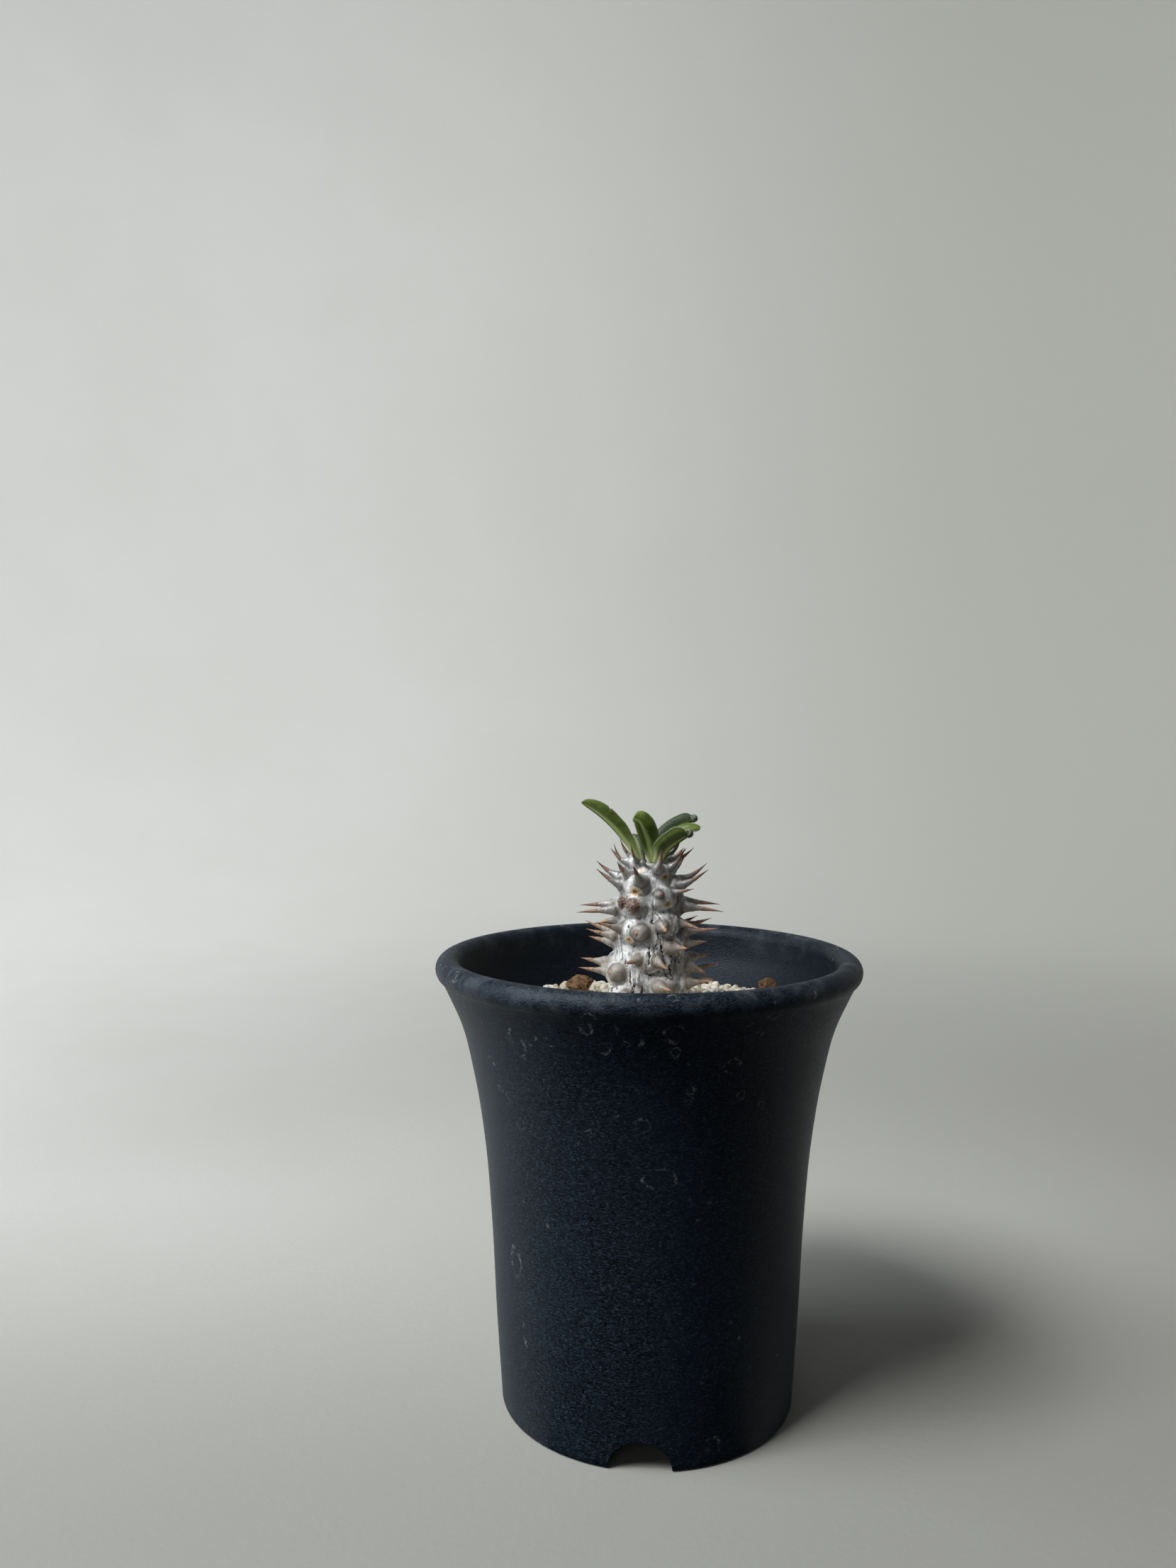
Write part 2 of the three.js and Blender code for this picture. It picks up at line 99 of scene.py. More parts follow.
# Warts: turn from -Y towards +X in degrees, height and size, then its two lobes. A lobe has its own
# turn, height and radius, how far it stands off the bark, and its spine's reach, rise and heading in
# degrees. A lobe whose reach is 0 has lost its spine, and one whose reach is -1 has dried to a crater.
WARTS = [
    (-56, 96.5, 0.65, [(-72, 96.5, 0.85, 0.7, 4.2, 40, -98), (-66, 97.5, 0.75, 0.6, 4.2, 56, -88)]),
    (-24, 96.7, 0.3, [(-36, 97.2, 0.6, 1, 3.2, 60, -38), (-12, 97.1, 0.55, 1, 2.8, 58, -14)]),
    (36, 95.2, 0.7, [(19, 95.9, 1.1, 0.9, 3.8, 66, 24), (58, 96, 0.95, 0.9, 4.4, 52, 64)]),
    (84, 96.4, 0.6, [(78, 97.3, 0.75, 1.2, 3, 42, 96), (92, 97.2, 0.75, 1.2, 3.2, 36, 88)]),
    (-78, 92.8, 1, [(-66, 92.9, 1.15, 0.9, 5.2, 32, -88), (-96, 93.9, 1.1, 1, 5, 34, -94)]),
    (-30, 92.8, 1, [(-46, 94.3, 1.1, 0.5, 4, 46, -54), (-16, 93.5, 1.35, 0.5, 4.2, 48, -30)]),
    (80, 92.4, 1, [(68, 92.6, 1.2, 0.9, 6.2, 30, 80), (96, 93.2, 1.2, 1, 5.8, 34, 88)]),
    (31, 90.6, 1, [(17, 91.4, 1, 0.5, 2.6, 8, 18), (46, 91.6, 0.95, 0.6, 4.2, 12, 72)]),
    (-34, 89.2, 1.1, [(-47, 89.9, 1.4, 1.1, -1, 0, 0), (-24, 89.3, 1.45, 1, -1, 0, 0)]),
    (-88, 88.4, 1.05, [(-74, 88.2, 1.15, 1.1, 6.8, -4, -84), (-100, 88.8, 1.1, 1.1, 6.2, -2, -88)]),
    (88, 89, 1.05, [(76, 88.8, 1.2, 1, 7.2, -6, 84), (100, 89.4, 1.1, 1, 6.6, -4, 88)]),
    (38, 86, 1.05, [(22, 85.9, 1.3, 0.5, 2.8, -14, 18), (58, 86.2, 1.15, 0.6, 4.6, -12, 66)]),
    (-28, 84.7, 1.1, [(-50, 85.2, 1.25, 0.6, 5, 16, -66), (-13, 84.8, 1.6, 0.4, 1.9, -4, -40)]),
    (-88, 83.4, 0.95, [(-74, 83.6, 1.1, 0.8, 5, 14, -86), (-98, 84, 1.05, 0.8, 5.3, 20, -92)]),
    (90, 84.6, 0.9, [(78, 84.4, 1.15, 0.8, 6.2, 6, 84), (100, 85, 1.1, 0.8, 5.2, 16, 90)]),
    (56, 82, 1, [(39, 82.1, 1.35, 0.4, 3.6, 2, 56), (76, 82.2, 1.1, 0.9, 3.9, 8, 80)]),
    (0, 79.8, 1.05, [(-13, 80.1, 1.15, 0.5, 3.6, -4, -46), (11, 80, 1.2, 0.5, 3.4, -22, 46)]),
    (-98, 78.4, 0.9, [(-88, 78.5, 1.15, 1.5, 4.4, 10, -88), (-116, 78.6, 1.1, 0.8, 0, 0, 0)]),
    (-62, 76.8, 1.1, [(-76, 77.2, 1.05, 1.3, 5, 8, -84), (-49, 77.4, 1.65, 0.5, 2, 2, -80)]),
    (82, 78.6, 1, [(72, 78.2, 1.2, 1.3, 3.2, -22, 86), (94, 79.4, 1.1, 1.3, 3.6, 8, 90)]),
    (26, 75, 1.1, [(15, 75.4, 1.35, 0.4, 3.4, -2, 42), (40, 74.6, 1.1, 0.4, 0, 0, 0)]),
    (78, 75.2, 1, [(69, 75.4, 1.1, 1.2, 4.6, 8, 82), (90, 75.2, 1.05, 1, 4.4, 6, 90)]),
    (-48, 73.4, 1, [(-66, 73.4, 1.05, 0.5, 0, 0, 0), (-32, 73.7, 1, 0.5, 0, 0, 0)]),
]
# The unseen side repeats the front's warts, fissures and scars half a turn round and a little lower
HIDDEN_TURN = 180
HIDDEN_WITHIN = 70
HIDDEN_DROP = 0.6
# Leaf scars: turn, height and radius
SCARS = [(-23, 95.6, 0.5), (37, 94.3, 0.7), (-25, 91.9, 0.75), (31, 89.8, 0.6), (-30, 83.5, 0.6)]
PAD_WIDTH = 2.55
PAD_HEIGHT = 2.05
PAD_RISE = 1.45
SPINE_RADIUS = 0.37
VOXEL = 0.25
CRACK_REACH = 0.36

# Seeds of the random draws
GRAVEL_SEED = 41
WART_SEED = 7
TINT_SEED = 3
SPINE_SEED = 9
CRACK_SEED = 5
PUMICE_SEEDS = {"pumice_left": 11, "pumice_right": 12}

# Fissures in the bark, as (turn, height) points that each one passes
FISSURES = [
    [(6, 90.9), (9, 89.4), (7, 87.9), (9, 86.6), (17, 84.4), (21, 82.4), (25, 80.6), (24, 78.3),
     (29, 76.9)],
    [(10, 88.2), (21, 87), (24, 86.4)], [(-44, 91.8), (-42, 90.9)],
    [(-48, 87.4), (-45, 86.2), (-42, 85.7)],
    [(-30, 86.7), (-29, 85.6)], [(2, 82.3), (3, 80.6), (1, 79.3)],
    [(-60, 83.4), (-58, 81.9), (-50, 80.6), (-52, 79.4)], [(-44, 80.4), (-40, 79.2), (-34, 78.5)],
    [(-30, 77.6), (-27, 76.3), (-26, 74.6)], [(-22, 75.5), (-25, 73.6), (-28, 72), (-26, 70)],
    [(-8, 75.2), (-10, 73.4), (-9, 71.2), (-6, 69.2)], [(-14, 73.4), (-13, 71), (-9, 69.6)],
    [(38, 78.8), (40, 76.8), (46, 75.3)], [(50, 81), (53, 79.6)],
    [(-70, 75.2), (-68, 72.6), (-70, 70)],
    [(44, 88.6), (46, 86.9)], [(-2, 78), (4, 77.4), (12, 77.6)], [(14, 82.6), (8, 80.9), (12, 79)],
]

# Leaves: the midrib's points, then which way each half spreads from it and how wide it is
# A leaf's shade darkens it to a mottled grey-green: painted shade for leaves that face away from the
# light.
LEAVES = {
    "leaf_left": {
        "midrib": [
            (-2.6, -1.9, 98.2), (-3.7, -2.4, 99.8), (-5.2, -2.8, 101.8), (-7.3, -3.3, 104.1),
            (-9.6, -3.6, 106), (-11.8, -3.7, 107.4),
        ],
        "right": ((0.6, 0.25, 0.75), 2.5), "left": ((-0.12, 0.93, -0.12), 2),
        "base": 0.42, "blunt": 0.66, "nick": 0.7, "shade": 0.1, "rib": 0.85,
    },
    "leaf_middle": {
        "midrib": [
            (0.3, -2.1, 98.7), (-0.1, -2.7, 100), (-0.6, -3.3, 101.7), (-1.1, -3.8, 103.1),
            (-1.7, -4.1, 104.2), (-2.6, -4.4, 104.8),
        ],
        "right": ((1, 0.45, -0.1), 2.9), "left": ((-0.85, -0.55, -0.1), 1.15),
        "base": 0.42, "blunt": 0.7, "broad": "right", "shade": 0, "rib": 0.9,
    },
    "leaf_right": {
        "midrib": [
            (2.7, -2, 98.3), (3.8, -3.1, 99.2), (4.9, -4.1, 100.3), (5.9, -4.9, 101.1),
            (6.7, -5.3, 101.6), (7.2, -5.5, 101.8),
        ],
        "right": ((0.4, 0.85, -0.2), 1.1), "left": ((-0.72, -0.6, 0.45), 3.3),
        "curl": 1, "base": 0.5, "blunt": 0.84, "shade": 0.2, "rib": 1,
    },
    "leaf_back_right": {
        "midrib": [
            (1.7, 1.6, 98.6), (2.9, 2.6, 100.6), (5, 3.7, 102.4), (7, 4.3, 103.4),
            (8.5, 4.6, 104),
        ],
        "right": ((0.3, 0.9, -0.3), 1.8), "left": ((-0.45, 0.3, 0.8), 2.2),
        "curl": 0.9, "base": 0.55, "blunt": 0.8, "shade": 0.95, "rib": 0.3,
    },
    "leaf_side_right": {
        "midrib": [
            (2.5, -0.1, 98.6), (3.7, -0.2, 100.6), (5.4, -0.5, 102.3), (7.4, -0.8, 103.1),
            (9.3, -1, 102.9),
        ],
        "right": ((0.1, -0.8, -0.5), 1.2), "left": ((-0.2, 0.85, 0.4), 1.7),
        "base": 0.5, "blunt": 0.8, "shade": 0, "rib": 0.15,
    },
    "leaf_back_left": {
        "midrib": [
            (-1.5, 1.5, 98.2), (-1.9, 2.3, 99.3), (-2.3, 3.1, 100.4), (-2.9, 3.8, 101.3),
        ],
        "right": ((0.95, 0.3, 0), 1.5), "left": ((-0.85, 0.3, 0.2), 1.4),
        "base": 0.55, "blunt": 0.74, "shade": 0.8, "rib": 0.3,
    },
}
LEAF_THICKNESS = 0.45
LEAF_SEAT = 2.1
LEAF_LENGTHWAYS = 90
LEAF_ACROSS = 28
VEIN_SPACING = 0.62

# Camera and stage
CAMERA_PLACE = (0, -0.22286, 0.11966)
CAMERA_YAW = -2.77599
CAMERA_PITCH = 2.32944
CAMERA_ROLL = 0.07757
PHOTO_HEIGHT = 2212
FOCAL_PIXELS = 1753.18
SENSOR = 36
ROOM_RADIUS = 0.75
ROOM_HEIGHT = 1.3
ROOM_CURVE = 0.3
STAGE_CUT = -0.02

# Lights: place, what it aims at, size, watts and tint
WHITE = (1, 1, 1)
LIGHTS = [
    ("window", (-0.62, -0.12, 0.34), (0, 0, 0.06), (0.4, 0.6), 2.6, (0.88, 0.95, 1)),
    ("above", (-0.34, -0.3, 0.72), (0, 0, 0.09), (0.3, 0.3), 6, WHITE),
    ("fill", (-0.12, -0.5, 0.2), (0, 0, 0.1), (0.3, 0.3), 0.16, WHITE),
    ("wall_wash", (-0.45, -0.1, 1), (0.1, 0.75, 0.3), (0.5, 0.3), 0.6, WHITE),
]


def smoothstep(low, high, value):
    share = np.clip((value - low) / (high - low), 0, 1)
    return share * share * (3 - 2 * share)


def curve_through(points, at):
    """Reads a smooth curve that passes (place, value) points."""
    place, value = np.array(points, float).T
    slope = np.gradient(value, place)
    low = np.clip(np.searchsorted(place, at) - 1, 0, len(place) - 2)
    span = place[low + 1] - place[low]
    t = np.clip((np.asarray(at) - place[low]) / span, 0, 1)
    rise = value[low + 1] - value[low]
    start, end = slope[low] * span, slope[low + 1] * span
    return value[low] + t * start + t * t * (3 * rise - 2 * start - end) + t**3 * (start + end - 2 * rise)


def heading(turn, rise=0.0):
    """The direction at a turn from -Y towards +X and an angle above level, in degrees."""
    a, e = math.radians(turn), math.radians(rise)
    return Vector((math.sin(a) * math.cos(e), -math.cos(a) * math.cos(e), math.sin(e)))


def wall_radius(height):
    return float(curve_through(OUTER_WALL, height))


def bark_radius(height):
    return np.interp(height, *np.array(STEM_OUTLINE).T)


def stem_middle(height):
    share = np.clip((np.asarray(height) - GRAVEL_LEVEL) / (STEM_TOP - GRAVEL_LEVEL), 0, 1)
    return STEM_LEAN * share


def on_stem(turn, height, stand=0.0):
    """The point that stands off the bark at a turn and height."""
    place = heading(turn) * float(bark_radius(height) + stand)
    return place + Vector((float(stem_middle(height)), 0, height))


def places(shape):
    return np.array([vert.co for vert in shape.verts])


def move(shape, new_places):
    for vert, place in zip(shape.verts, new_places):
        vert.co = place


def set_values(shape, name, values):
    """Keeps one number per point under a name that materials can read."""
    layer = shape.verts.layers.float.get(name) or shape.verts.layers.float.new(name)
    for vert, value in zip(shape.verts, values):
        vert[layer] = value


def placed(name, data):
    """A new object in the scene."""
    made = bpy.data.objects.new(name, data)
    bpy.context.scene.collection.objects.link(made)
    return made


def meshed(name, shape):
    """A new object in the scene from a shape that is done with."""
    mesh = bpy.data.meshes.new(name)
    shape.to_mesh(mesh)
    shape.free()
    return placed(name, mesh)


def piece(name, shape, slot, node, sharp=None):
    """Turns a shape in millimetres into a finished piece that stands for its CAD node."""
    bmesh.ops.scale(shape, vec=(MM, MM, MM), verts=shape.verts)
    made = meshed(name, shape)
    made.data.shade_smooth()
    if sharp:
        made.data.set_sharp_from_angle(angle=math.radians(sharp))
    made.data.materials.append(finishes[slot])
    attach(made, "root")
    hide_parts(node)


def baked(shape, kind, **settings):
    """The shape after a modifier."""
    work = meshed("work", shape)
    modifier = work.modifiers.new(kind, kind)
    for key, value in settings.items():
        setattr(modifier, key, value)
    result = bmesh.new()
    result.from_object(work, bpy.context.evaluated_depsgraph_get())
    bpy.data.meshes.remove(work.data)
    return result


def standing(place, axis, front="Z"):
    """Moves a thing to a place and turns its front along an axis."""
    return Matrix.Translation(place) @ Vector(axis).to_track_quat(front, "Y").to_matrix().to_4x4()


def ball(fineness):
    shape = bmesh.new()
    bmesh.ops.create_icosphere(shape, subdivisions=fineness, radius=1)
    return shape


def arc(middle, radii, start, end, count):
    """Profile points along part of an ellipse, from one angle to another in degrees."""
    turns = np.radians(np.linspace(start, end, count))
    return [(middle[0] + radii[0] * math.cos(a), middle[1] + radii[1] * math.sin(a)) for a in turns]


def spun(profile, steps):
    """A shape turned about the upright axis from (radius, height) points."""
    shape = bmesh.new()
    verts = [shape.verts.new((radius, 0, height)) for radius, height in profile]
    edges = [shape.edges.new(pair) for pair in zip(verts, verts[1:])]
    bmesh.ops.spin(
        shape, geom=verts + edges, cent=(0, 0, 0), axis=(0, 0, 1), angle=math.tau, steps=steps,
        use_merge=True,
    )
    bmesh.ops.remove_doubles(shape, verts=shape.verts, dist=1e-4)
    bmesh.ops.recalc_face_normals(shape, faces=shape.faces)
    return shape


def joined(shapes):
    """All the shapes in one."""
    whole = bmesh.new()
    for shape in shapes:
        mesh = bpy.data.meshes.new("work")
        shape.to_mesh(mesh)
        shape.free()
        whole.from_mesh(mesh)
        bpy.data.meshes.remove(mesh)
    return whole


def rod(points, radii, sides):
    """A closed round rod through points, made by carrying a ring from one point to the next."""
    shape = bmesh.new()
    points = [Vector(point) for point in points]
    axis = (points[1] - points[0]).normalized()
    first = bmesh.ops.create_circle(
        shape, cap_ends=True, segments=sides, radius=radii[0], matrix=standing(points[0], axis),
    )["verts"]
    ring = list(dict.fromkeys(edge for vert in first for edge in vert.link_edges))
    for place, radius, last_place, last_radius, following in zip(
        points[1:], radii[1:], points, radii, points[2:] + points[-1:]
    ):
        grown = bmesh.ops.extrude_edge_only(shape, edges=ring)["geom"]
        verts = [item for item in grown if isinstance(item, bmesh.types.BMVert)]
        ring = [item for item in grown if isinstance(item, bmesh.types.BMEdge)]
        next_axis = (following - last_place).normalized()
        bend = axis.rotation_difference(next_axis).to_matrix().to_4x4()
        size = Matrix.Scale(radius / last_radius, 4)
        change = Matrix.Translation(place) @ bend @ size @ Matrix.Translation(-last_place)
        bmesh.ops.transform(shape, matrix=change, verts=verts)
        axis = next_axis
    bmesh.ops.contextual_create(shape, geom=ring)
    bmesh.ops.recalc_face_normals(shape, faces=shape.faces)
    return shape


def fill(node, inputs):
    """Gives a node's inputs their values, or links them to other nodes."""
    for name, value in inputs.items():
        if isinstance(value, bpy.types.NodeSocket):
            node.id_data.links.new(value, node.inputs[name])
        else:
            node.inputs[name].default_value = value


def add(near, kind, inputs=None, **settings):
    """Adds a node to the tree that holds a socket or node, sets it up and fills its inputs."""
    node = near.id_data.nodes.new("ShaderNode" + kind)
    for key, value in settings.items():
        setattr(node, key, value)
    fill(node, inputs or {})
    return node


def maths(operation, first, second=0.0):
    return add(first, "Math", {0: first, 1: second}, operation=operation).outputs["Value"]


def times(first, *others):
    for other in others:
        first = maths("MULTIPLY", first, other)
    return first


def moved(operation, place, other=(0, 0, 0)):
    """Arithmetic with places or sizes along the axes."""
    return add(place, "VectorMath", {0: place, 1: other}, operation=operation).outputs["Vector"]


def length_of(place):
    return add(place, "VectorMath", {0: place}, operation="LENGTH").outputs["Value"]


def parts_of(place):
    """The X, Y and Z parts of a place, or those of a cell's random colour."""
    return add(place, "SeparateXYZ", {"Vector": place}).outputs


def noise_of(place, scale, detail=3, rough=0.55, warp=0.0):
    """Soft noise with its middle at 0.5; the scale counts features to the metre."""
    return add(place, "TexNoise", {
        "Vector": place, "Scale": scale, "Detail": detail, "Roughness": rough, "Distortion": warp,
    }).outputs["Fac"]


def cells_of(place, scale, feature="F1"):
    return add(place, "TexVoronoi", {"Vector": place, "Scale": scale}, feature=feature).outputs


def between(value, low, high, new_low=0.0, new_high=1.0):
    """Maps a value smoothly from one range to another."""
    return add(value, "MapRange", {
        "Value": value, "From Min": low, "From Max": high, "To Min": new_low, "To Max": new_high,
    }, interpolation_type="SMOOTHSTEP").outputs["Result"]


def noise_warp(place, scale, amount):
    """The place moved about by noise, so that a pattern wanders."""
    cloud = add(place, "TexNoise", {"Vector": place, "Scale": scale, "Detail": 2}).outputs["Color"]
    return moved("ADD", place, moved("MULTIPLY", moved("SUBTRACT", cloud, (0.5,) * 3), (amount,) * 3))


def stretched(place, size):
    """The place scaled along the axes, for patterns that are longer one way."""
    return add(place, "Mapping", {"Vector": place, "Scale": size}).outputs["Vector"]


def colour(*parts):
    """A colour from its red, green and blue as they look on a screen, from 0 to 255."""
    def linear(part):
        part /= 255
        return part / 12.92 if part <= 0.04045 else ((part + 0.055) / 1.055) ** 2.4
    return *map(linear, parts), 1


def blended(share, *tones):
    """Mixes two colours by a share. Each comes from another node or is given as it looks on a screen."""
    low, high = [colour(*tone) if isinstance(tone, tuple) else tone for tone in tones]
    return add(share, "Mix", {0: share, 6: low, 7: high}, data_type="RGBA").outputs[2]


def coats(base, *layers):
    """Lays colours over each other, each where its mask is."""
    for mask, tone in layers:
        base = blended(mask, base, tone)
    return base


def ramp(share, *stops):
    """Colours that follow each other, from (share, colour) stops."""
    made = add(share, "ValToRGB", {"Fac": share})
    stations = made.color_ramp.elements
    stations[0].color, stations[1].color = colour(*stops[0][1]), colour(*stops[-1][1])
    for where, tone in stops[1:-1]:
        stations.new(where).color = colour(*tone)
    return made.outputs["Color"]


def bump(height, strength, distance, **below):
    """Relief in millimetres, on top of the relief below where that is given."""
    return add(height, "Bump", {
        "Height": height, "Strength": strength, "Distance": distance * MM, **below,
    }).outputs["Normal"]


def new_finish(name, *facts, **constants):
    """A new finish: its shader with constants on its own sockets, the place, and facts of the points."""
    finishes[name] = bpy.data.materials.new(name)
    finishes[name].use_nodes = True
    shader = finishes[name].node_tree.nodes["Principled BSDF"]
    fill(shader, {socket.replace("_", " "): value for socket, value in constants.items()})
    carried = [add(shader, "Attribute", attribute_name=fact).outputs["Fac"] for fact in facts]
    return shader, add(shader, "TexCoord").outputs["Object"], *carried


def specks_group():
    """Clustered specks or patches, such as dust, dirt and wear, as a mask."""
    group = bpy.data.node_groups.new("specks", "ShaderNodeTree")
    group.interface.new_socket("Place", in_out="INPUT", socket_type="NodeSocketVector")
    for name in ("Scale", "Detail", "Roughness", "Warp", "Low", "High", "Share"):
        group.interface.new_socket(name, in_out="INPUT", socket_type="NodeSocketFloat")
    group.interface.new_socket("Mask", in_out="OUTPUT", socket_type="NodeSocketFloat")
    given = group.nodes.new("NodeGroupInput").outputs
    cloud = noise_of(*(given[name] for name in ("Place", "Scale", "Detail", "Roughness", "Warp")))
    mask = between(cloud, given["Low"], given["High"], 0.0, given["Share"])
    fill(group.nodes.new("NodeGroupOutput"), {"Mask": mask})
    return group


def specks(place, scale, low, high, share=1.0, detail=3.0, rough=0.6, warp=0.0):
    """Places the shared specks effect in a material with its own values."""
    return add(place, "Group", {
        "Place": place, "Scale": scale, "Detail": detail, "Roughness": rough, "Warp": warp,
        "Low": low, "High": high, "Share": share,
    }, node_tree=bpy.data.node_groups.get("specks") or specks_group()).outputs["Mask"]


def make_camera():
    """The camera that was fitted to the pot's outlines in the photograph."""
    swap = Matrix(((1, 0, 0), (0, 0, -1), (0, 1, 0)))
    roll, pitch, yaw = (
        Matrix.Rotation(math.radians(angle), 3, axis)
        for angle, axis in ((CAMERA_ROLL, "Z"), (CAMERA_PITCH, "X"), (CAMERA_YAW, "Z"))
    )
    turn = roll @ pitch @ swap @ yaw
    data = bpy.data.cameras.new("camera")
    data.sensor_fit = "VERTICAL"
    data.sensor_height = SENSOR
    data.lens = FOCAL_PIXELS * SENSOR / PHOTO_HEIGHT
    data.clip_start = 0.001
    camera = placed("camera", data)
    facing = turn.transposed() @ Matrix.Diagonal((1, -1, -1))
    camera.matrix_world = Matrix.Translation(CAMERA_PLACE) @ facing.to_4x4()
    bpy.context.scene.camera = camera


def pale_stage():
    """A pale surface with painted shade, darker to the right and to the front, and a painted glow seen
    only by the camera, brighter to the left and near the middle.
    """
    shader, place = new_finish(
        "pale_stage", Roughness=0.9, Specular_IOR_Level=0.1, Emission_Strength=1,
    )
    parts = parts_of(place)
    tone = blended(between(noise_of(place, 9), 0.3, 0.7), (200, 200, 196), (204, 205, 201))
    # Painted shade: the surface is darker to the right and to the front.
    tone = blended(between(parts["X"], -0.25, 0.3), tone, (171, 171, 166))
    tone = blended(between(parts["Y"], -0.06, 0.1, 0.8, 0), tone, (146, 146, 141))
    # Painted glow: camera rays see light that no lamp gives, brighter to the left and near the middle.
    painted_glow = blended(between(parts["X"], -0.4, 0.4), (137, 138, 137), (112, 113, 108))
    painted_glow = blended(between(length_of(place), 0.18, 0.55, 1, 0), painted_glow, (0, 0, 0))
    seen = add(place, "LightPath").outputs["Is Camera Ray"]
    fill(shader, {
        "Base Color": tone, "Normal": bump(noise_of(place, 700, 2), 0.15, 0.4),
        "Emission Color": blended(seen, (0, 0, 0), painted_glow),
    })


def make_stage():
    """A floor that curves up into a wall; its near half is seen but casts no light back on the pot."""
    pale_stage()
    bend = arc((ROOM_RADIUS - ROOM_CURVE, ROOM_CURVE), (ROOM_CURVE, ROOM_CURVE), -90, 0, 17)
    profile = [(0, 0)] + bend + [(ROOM_RADIUS, ROOM_HEIGHT)]
    for name, away in (("stage_back", 1), ("stage_front", -1)):
        shape = spun(profile, 96)
        bmesh.ops.bisect_plane(
            shape, geom=shape.verts[:] + shape.edges[:] + shape.faces[:], plane_co=(0, STAGE_CUT, 0),
            plane_no=(0, -away, 0), clear_outer=True,
        )
        made = meshed(name, shape)
        made.data.shade_smooth()
        made.data.materials.append(finishes["pale_stage"])
        if away < 0:
            made.visible_diffuse = made.visible_glossy = made.visible_shadow = False


def make_lights():
    for name, place, aim, size, watts, tint in LIGHTS:
        data = bpy.data.lights.new(name, "AREA")
        data.shape = "RECTANGLE"
        data.size, data.size_y = size
        data.energy = watts
        data.color = tint
        light = placed(name, data)
        light.visible_camera = False
        light.matrix_world = standing(place, Vector(aim) - Vector(place), "-Z")
    world = bpy.data.worlds.new("room")
    world.use_nodes = True
    fill(world.node_tree.nodes["Background"], {"Color": (0.9, 0.95, 1, 1), "Strength": 0.03})
    bpy.context.scene.world = world
    bpy.context.scene.view_settings.view_transform = "Standard"


def dried_drop(place, centre, radius, tall, wobble):
    """A ring of limescale round a centre, as a mask."""
    away = moved("MULTIPLY", moved("SUBTRACT", place, centre), (1, 1, 1 / tall))
    off = maths("SUBTRACT", maths("ADD", length_of(away), wobble), radius)
    return between(maths("ABSOLUTE", off), 0.0001, 0.00045, 1, 0)


def pot_plastic():
    """Moulded black plastic with a fine grain, dust, scuffs on the lip, marks of dried water, and painted
    shade on the inner wall.
    """
    shader, place, inside = new_finish(
        "pot_plastic", "inside", Specular_IOR_Level=0.24, Specular_Tint=(0.78, 0.88, 1, 1),
    )
    height = parts_of(place)["Z"]
    speckle = noise_of(noise_warp(stretched(place, (1, 1, 2.2)), 500, 0.0008), 2100, 2, 0.6, 0.4)
    # Fewer pale flecks on the inner wall, as part of its painted shade.
    flecks = times(between(speckle, 0.57, 0.68, 0, 0.5), between(inside, 0, 1, 1, 0.25))
    dusty = noise_of(stretched(place, (1, 1, 0.5)), 60)
    scuffs = specks(noise_warp(place, 200, 0.002), 260, 0.45, 0.68, 0.3, 4)

    cells = cells_of(noise_warp(place, 900, 0.0012), 360)
    size = parts_of(cells["Color"])
    ring = maths("ABSOLUTE", maths("SUBTRACT", cells["Distance"], between(size["X"], 0, 1, 0.15, 0.5)))
    ring = times(between(ring, 0, 0.1, 1, 0), between(size["Y"], 0.78, 0.84))
    ring = times(ring, between(noise_of(place, 1500, 2), 0.45, 0.62))
    scale = times(ring, between(height, 0.05, 0.07, 0.1, 0.9), between(inside, 0, 0.3, 1, 0))
    wobble = times(maths("SUBTRACT", noise_of(place, 520), 0.5), 0.0016)
    crumble = times(specks(place, 330, 0.42, 0.6, 1, 2, 0.55), specks(place, 2200, 0.4, 0.6, 1, 2, 0.55))
    for turn, drop_height, radius, tall in DRIED_DROPS:
        centre = heading(turn) * wall_radius(drop_height)
        centre.z = drop_height
        drop = dried_drop(place, centre * MM, radius * MM, tall, wobble)
        scale = maths("MAXIMUM", scale, times(drop, crumble))
    dots = cells_of(place, 330)
    chosen = between(parts_of(dots["Color"])["Z"], 0.8, 0.9)
    dot = times(between(dots["Distance"], 0.05, 0.15, 1, 0), chosen, between(dusty, 0.45, 0.6, 0.15, 0.6))
    scale = maths("MAXIMUM", scale, dot)
    fill(shader, {
        "Base Color": coats(
            blended(between(speckle, 0.36, 0.6), (3, 7, 12), (29, 39, 51)),
            (times(flecks, between(height, 0.074, 0.077, 1, 0.35)), (76, 89, 104)),
            (times(between(dusty, 0.35, 0.75), 0.22), (38, 49, 62)),
            (times(between(height, 0.0745, 0.078), scuffs), (94, 101, 108)),
            # Painted shade: the inner wall is darkened.
            (times(inside, 0.55), (4, 8, 14)),
            (times(scale, 0.6), (150, 155, 156)),
        ),
        "Roughness": maths("ADD", between(speckle, 0.3, 0.75, 0.38, 0.56), times(scale, 0.3)),
        "Normal": bump(maths("ADD", speckle, times(scale, 0.4)), 0.6, 0.22),
    })


def cylinder(radius, depth, middle, axis):
    shape = bmesh.new()
    bmesh.ops.create_cone(
        shape, cap_ends=True, segments=64, radius1=radius, radius2=radius, depth=depth,
        matrix=standing(middle, axis),
    )
    return shape


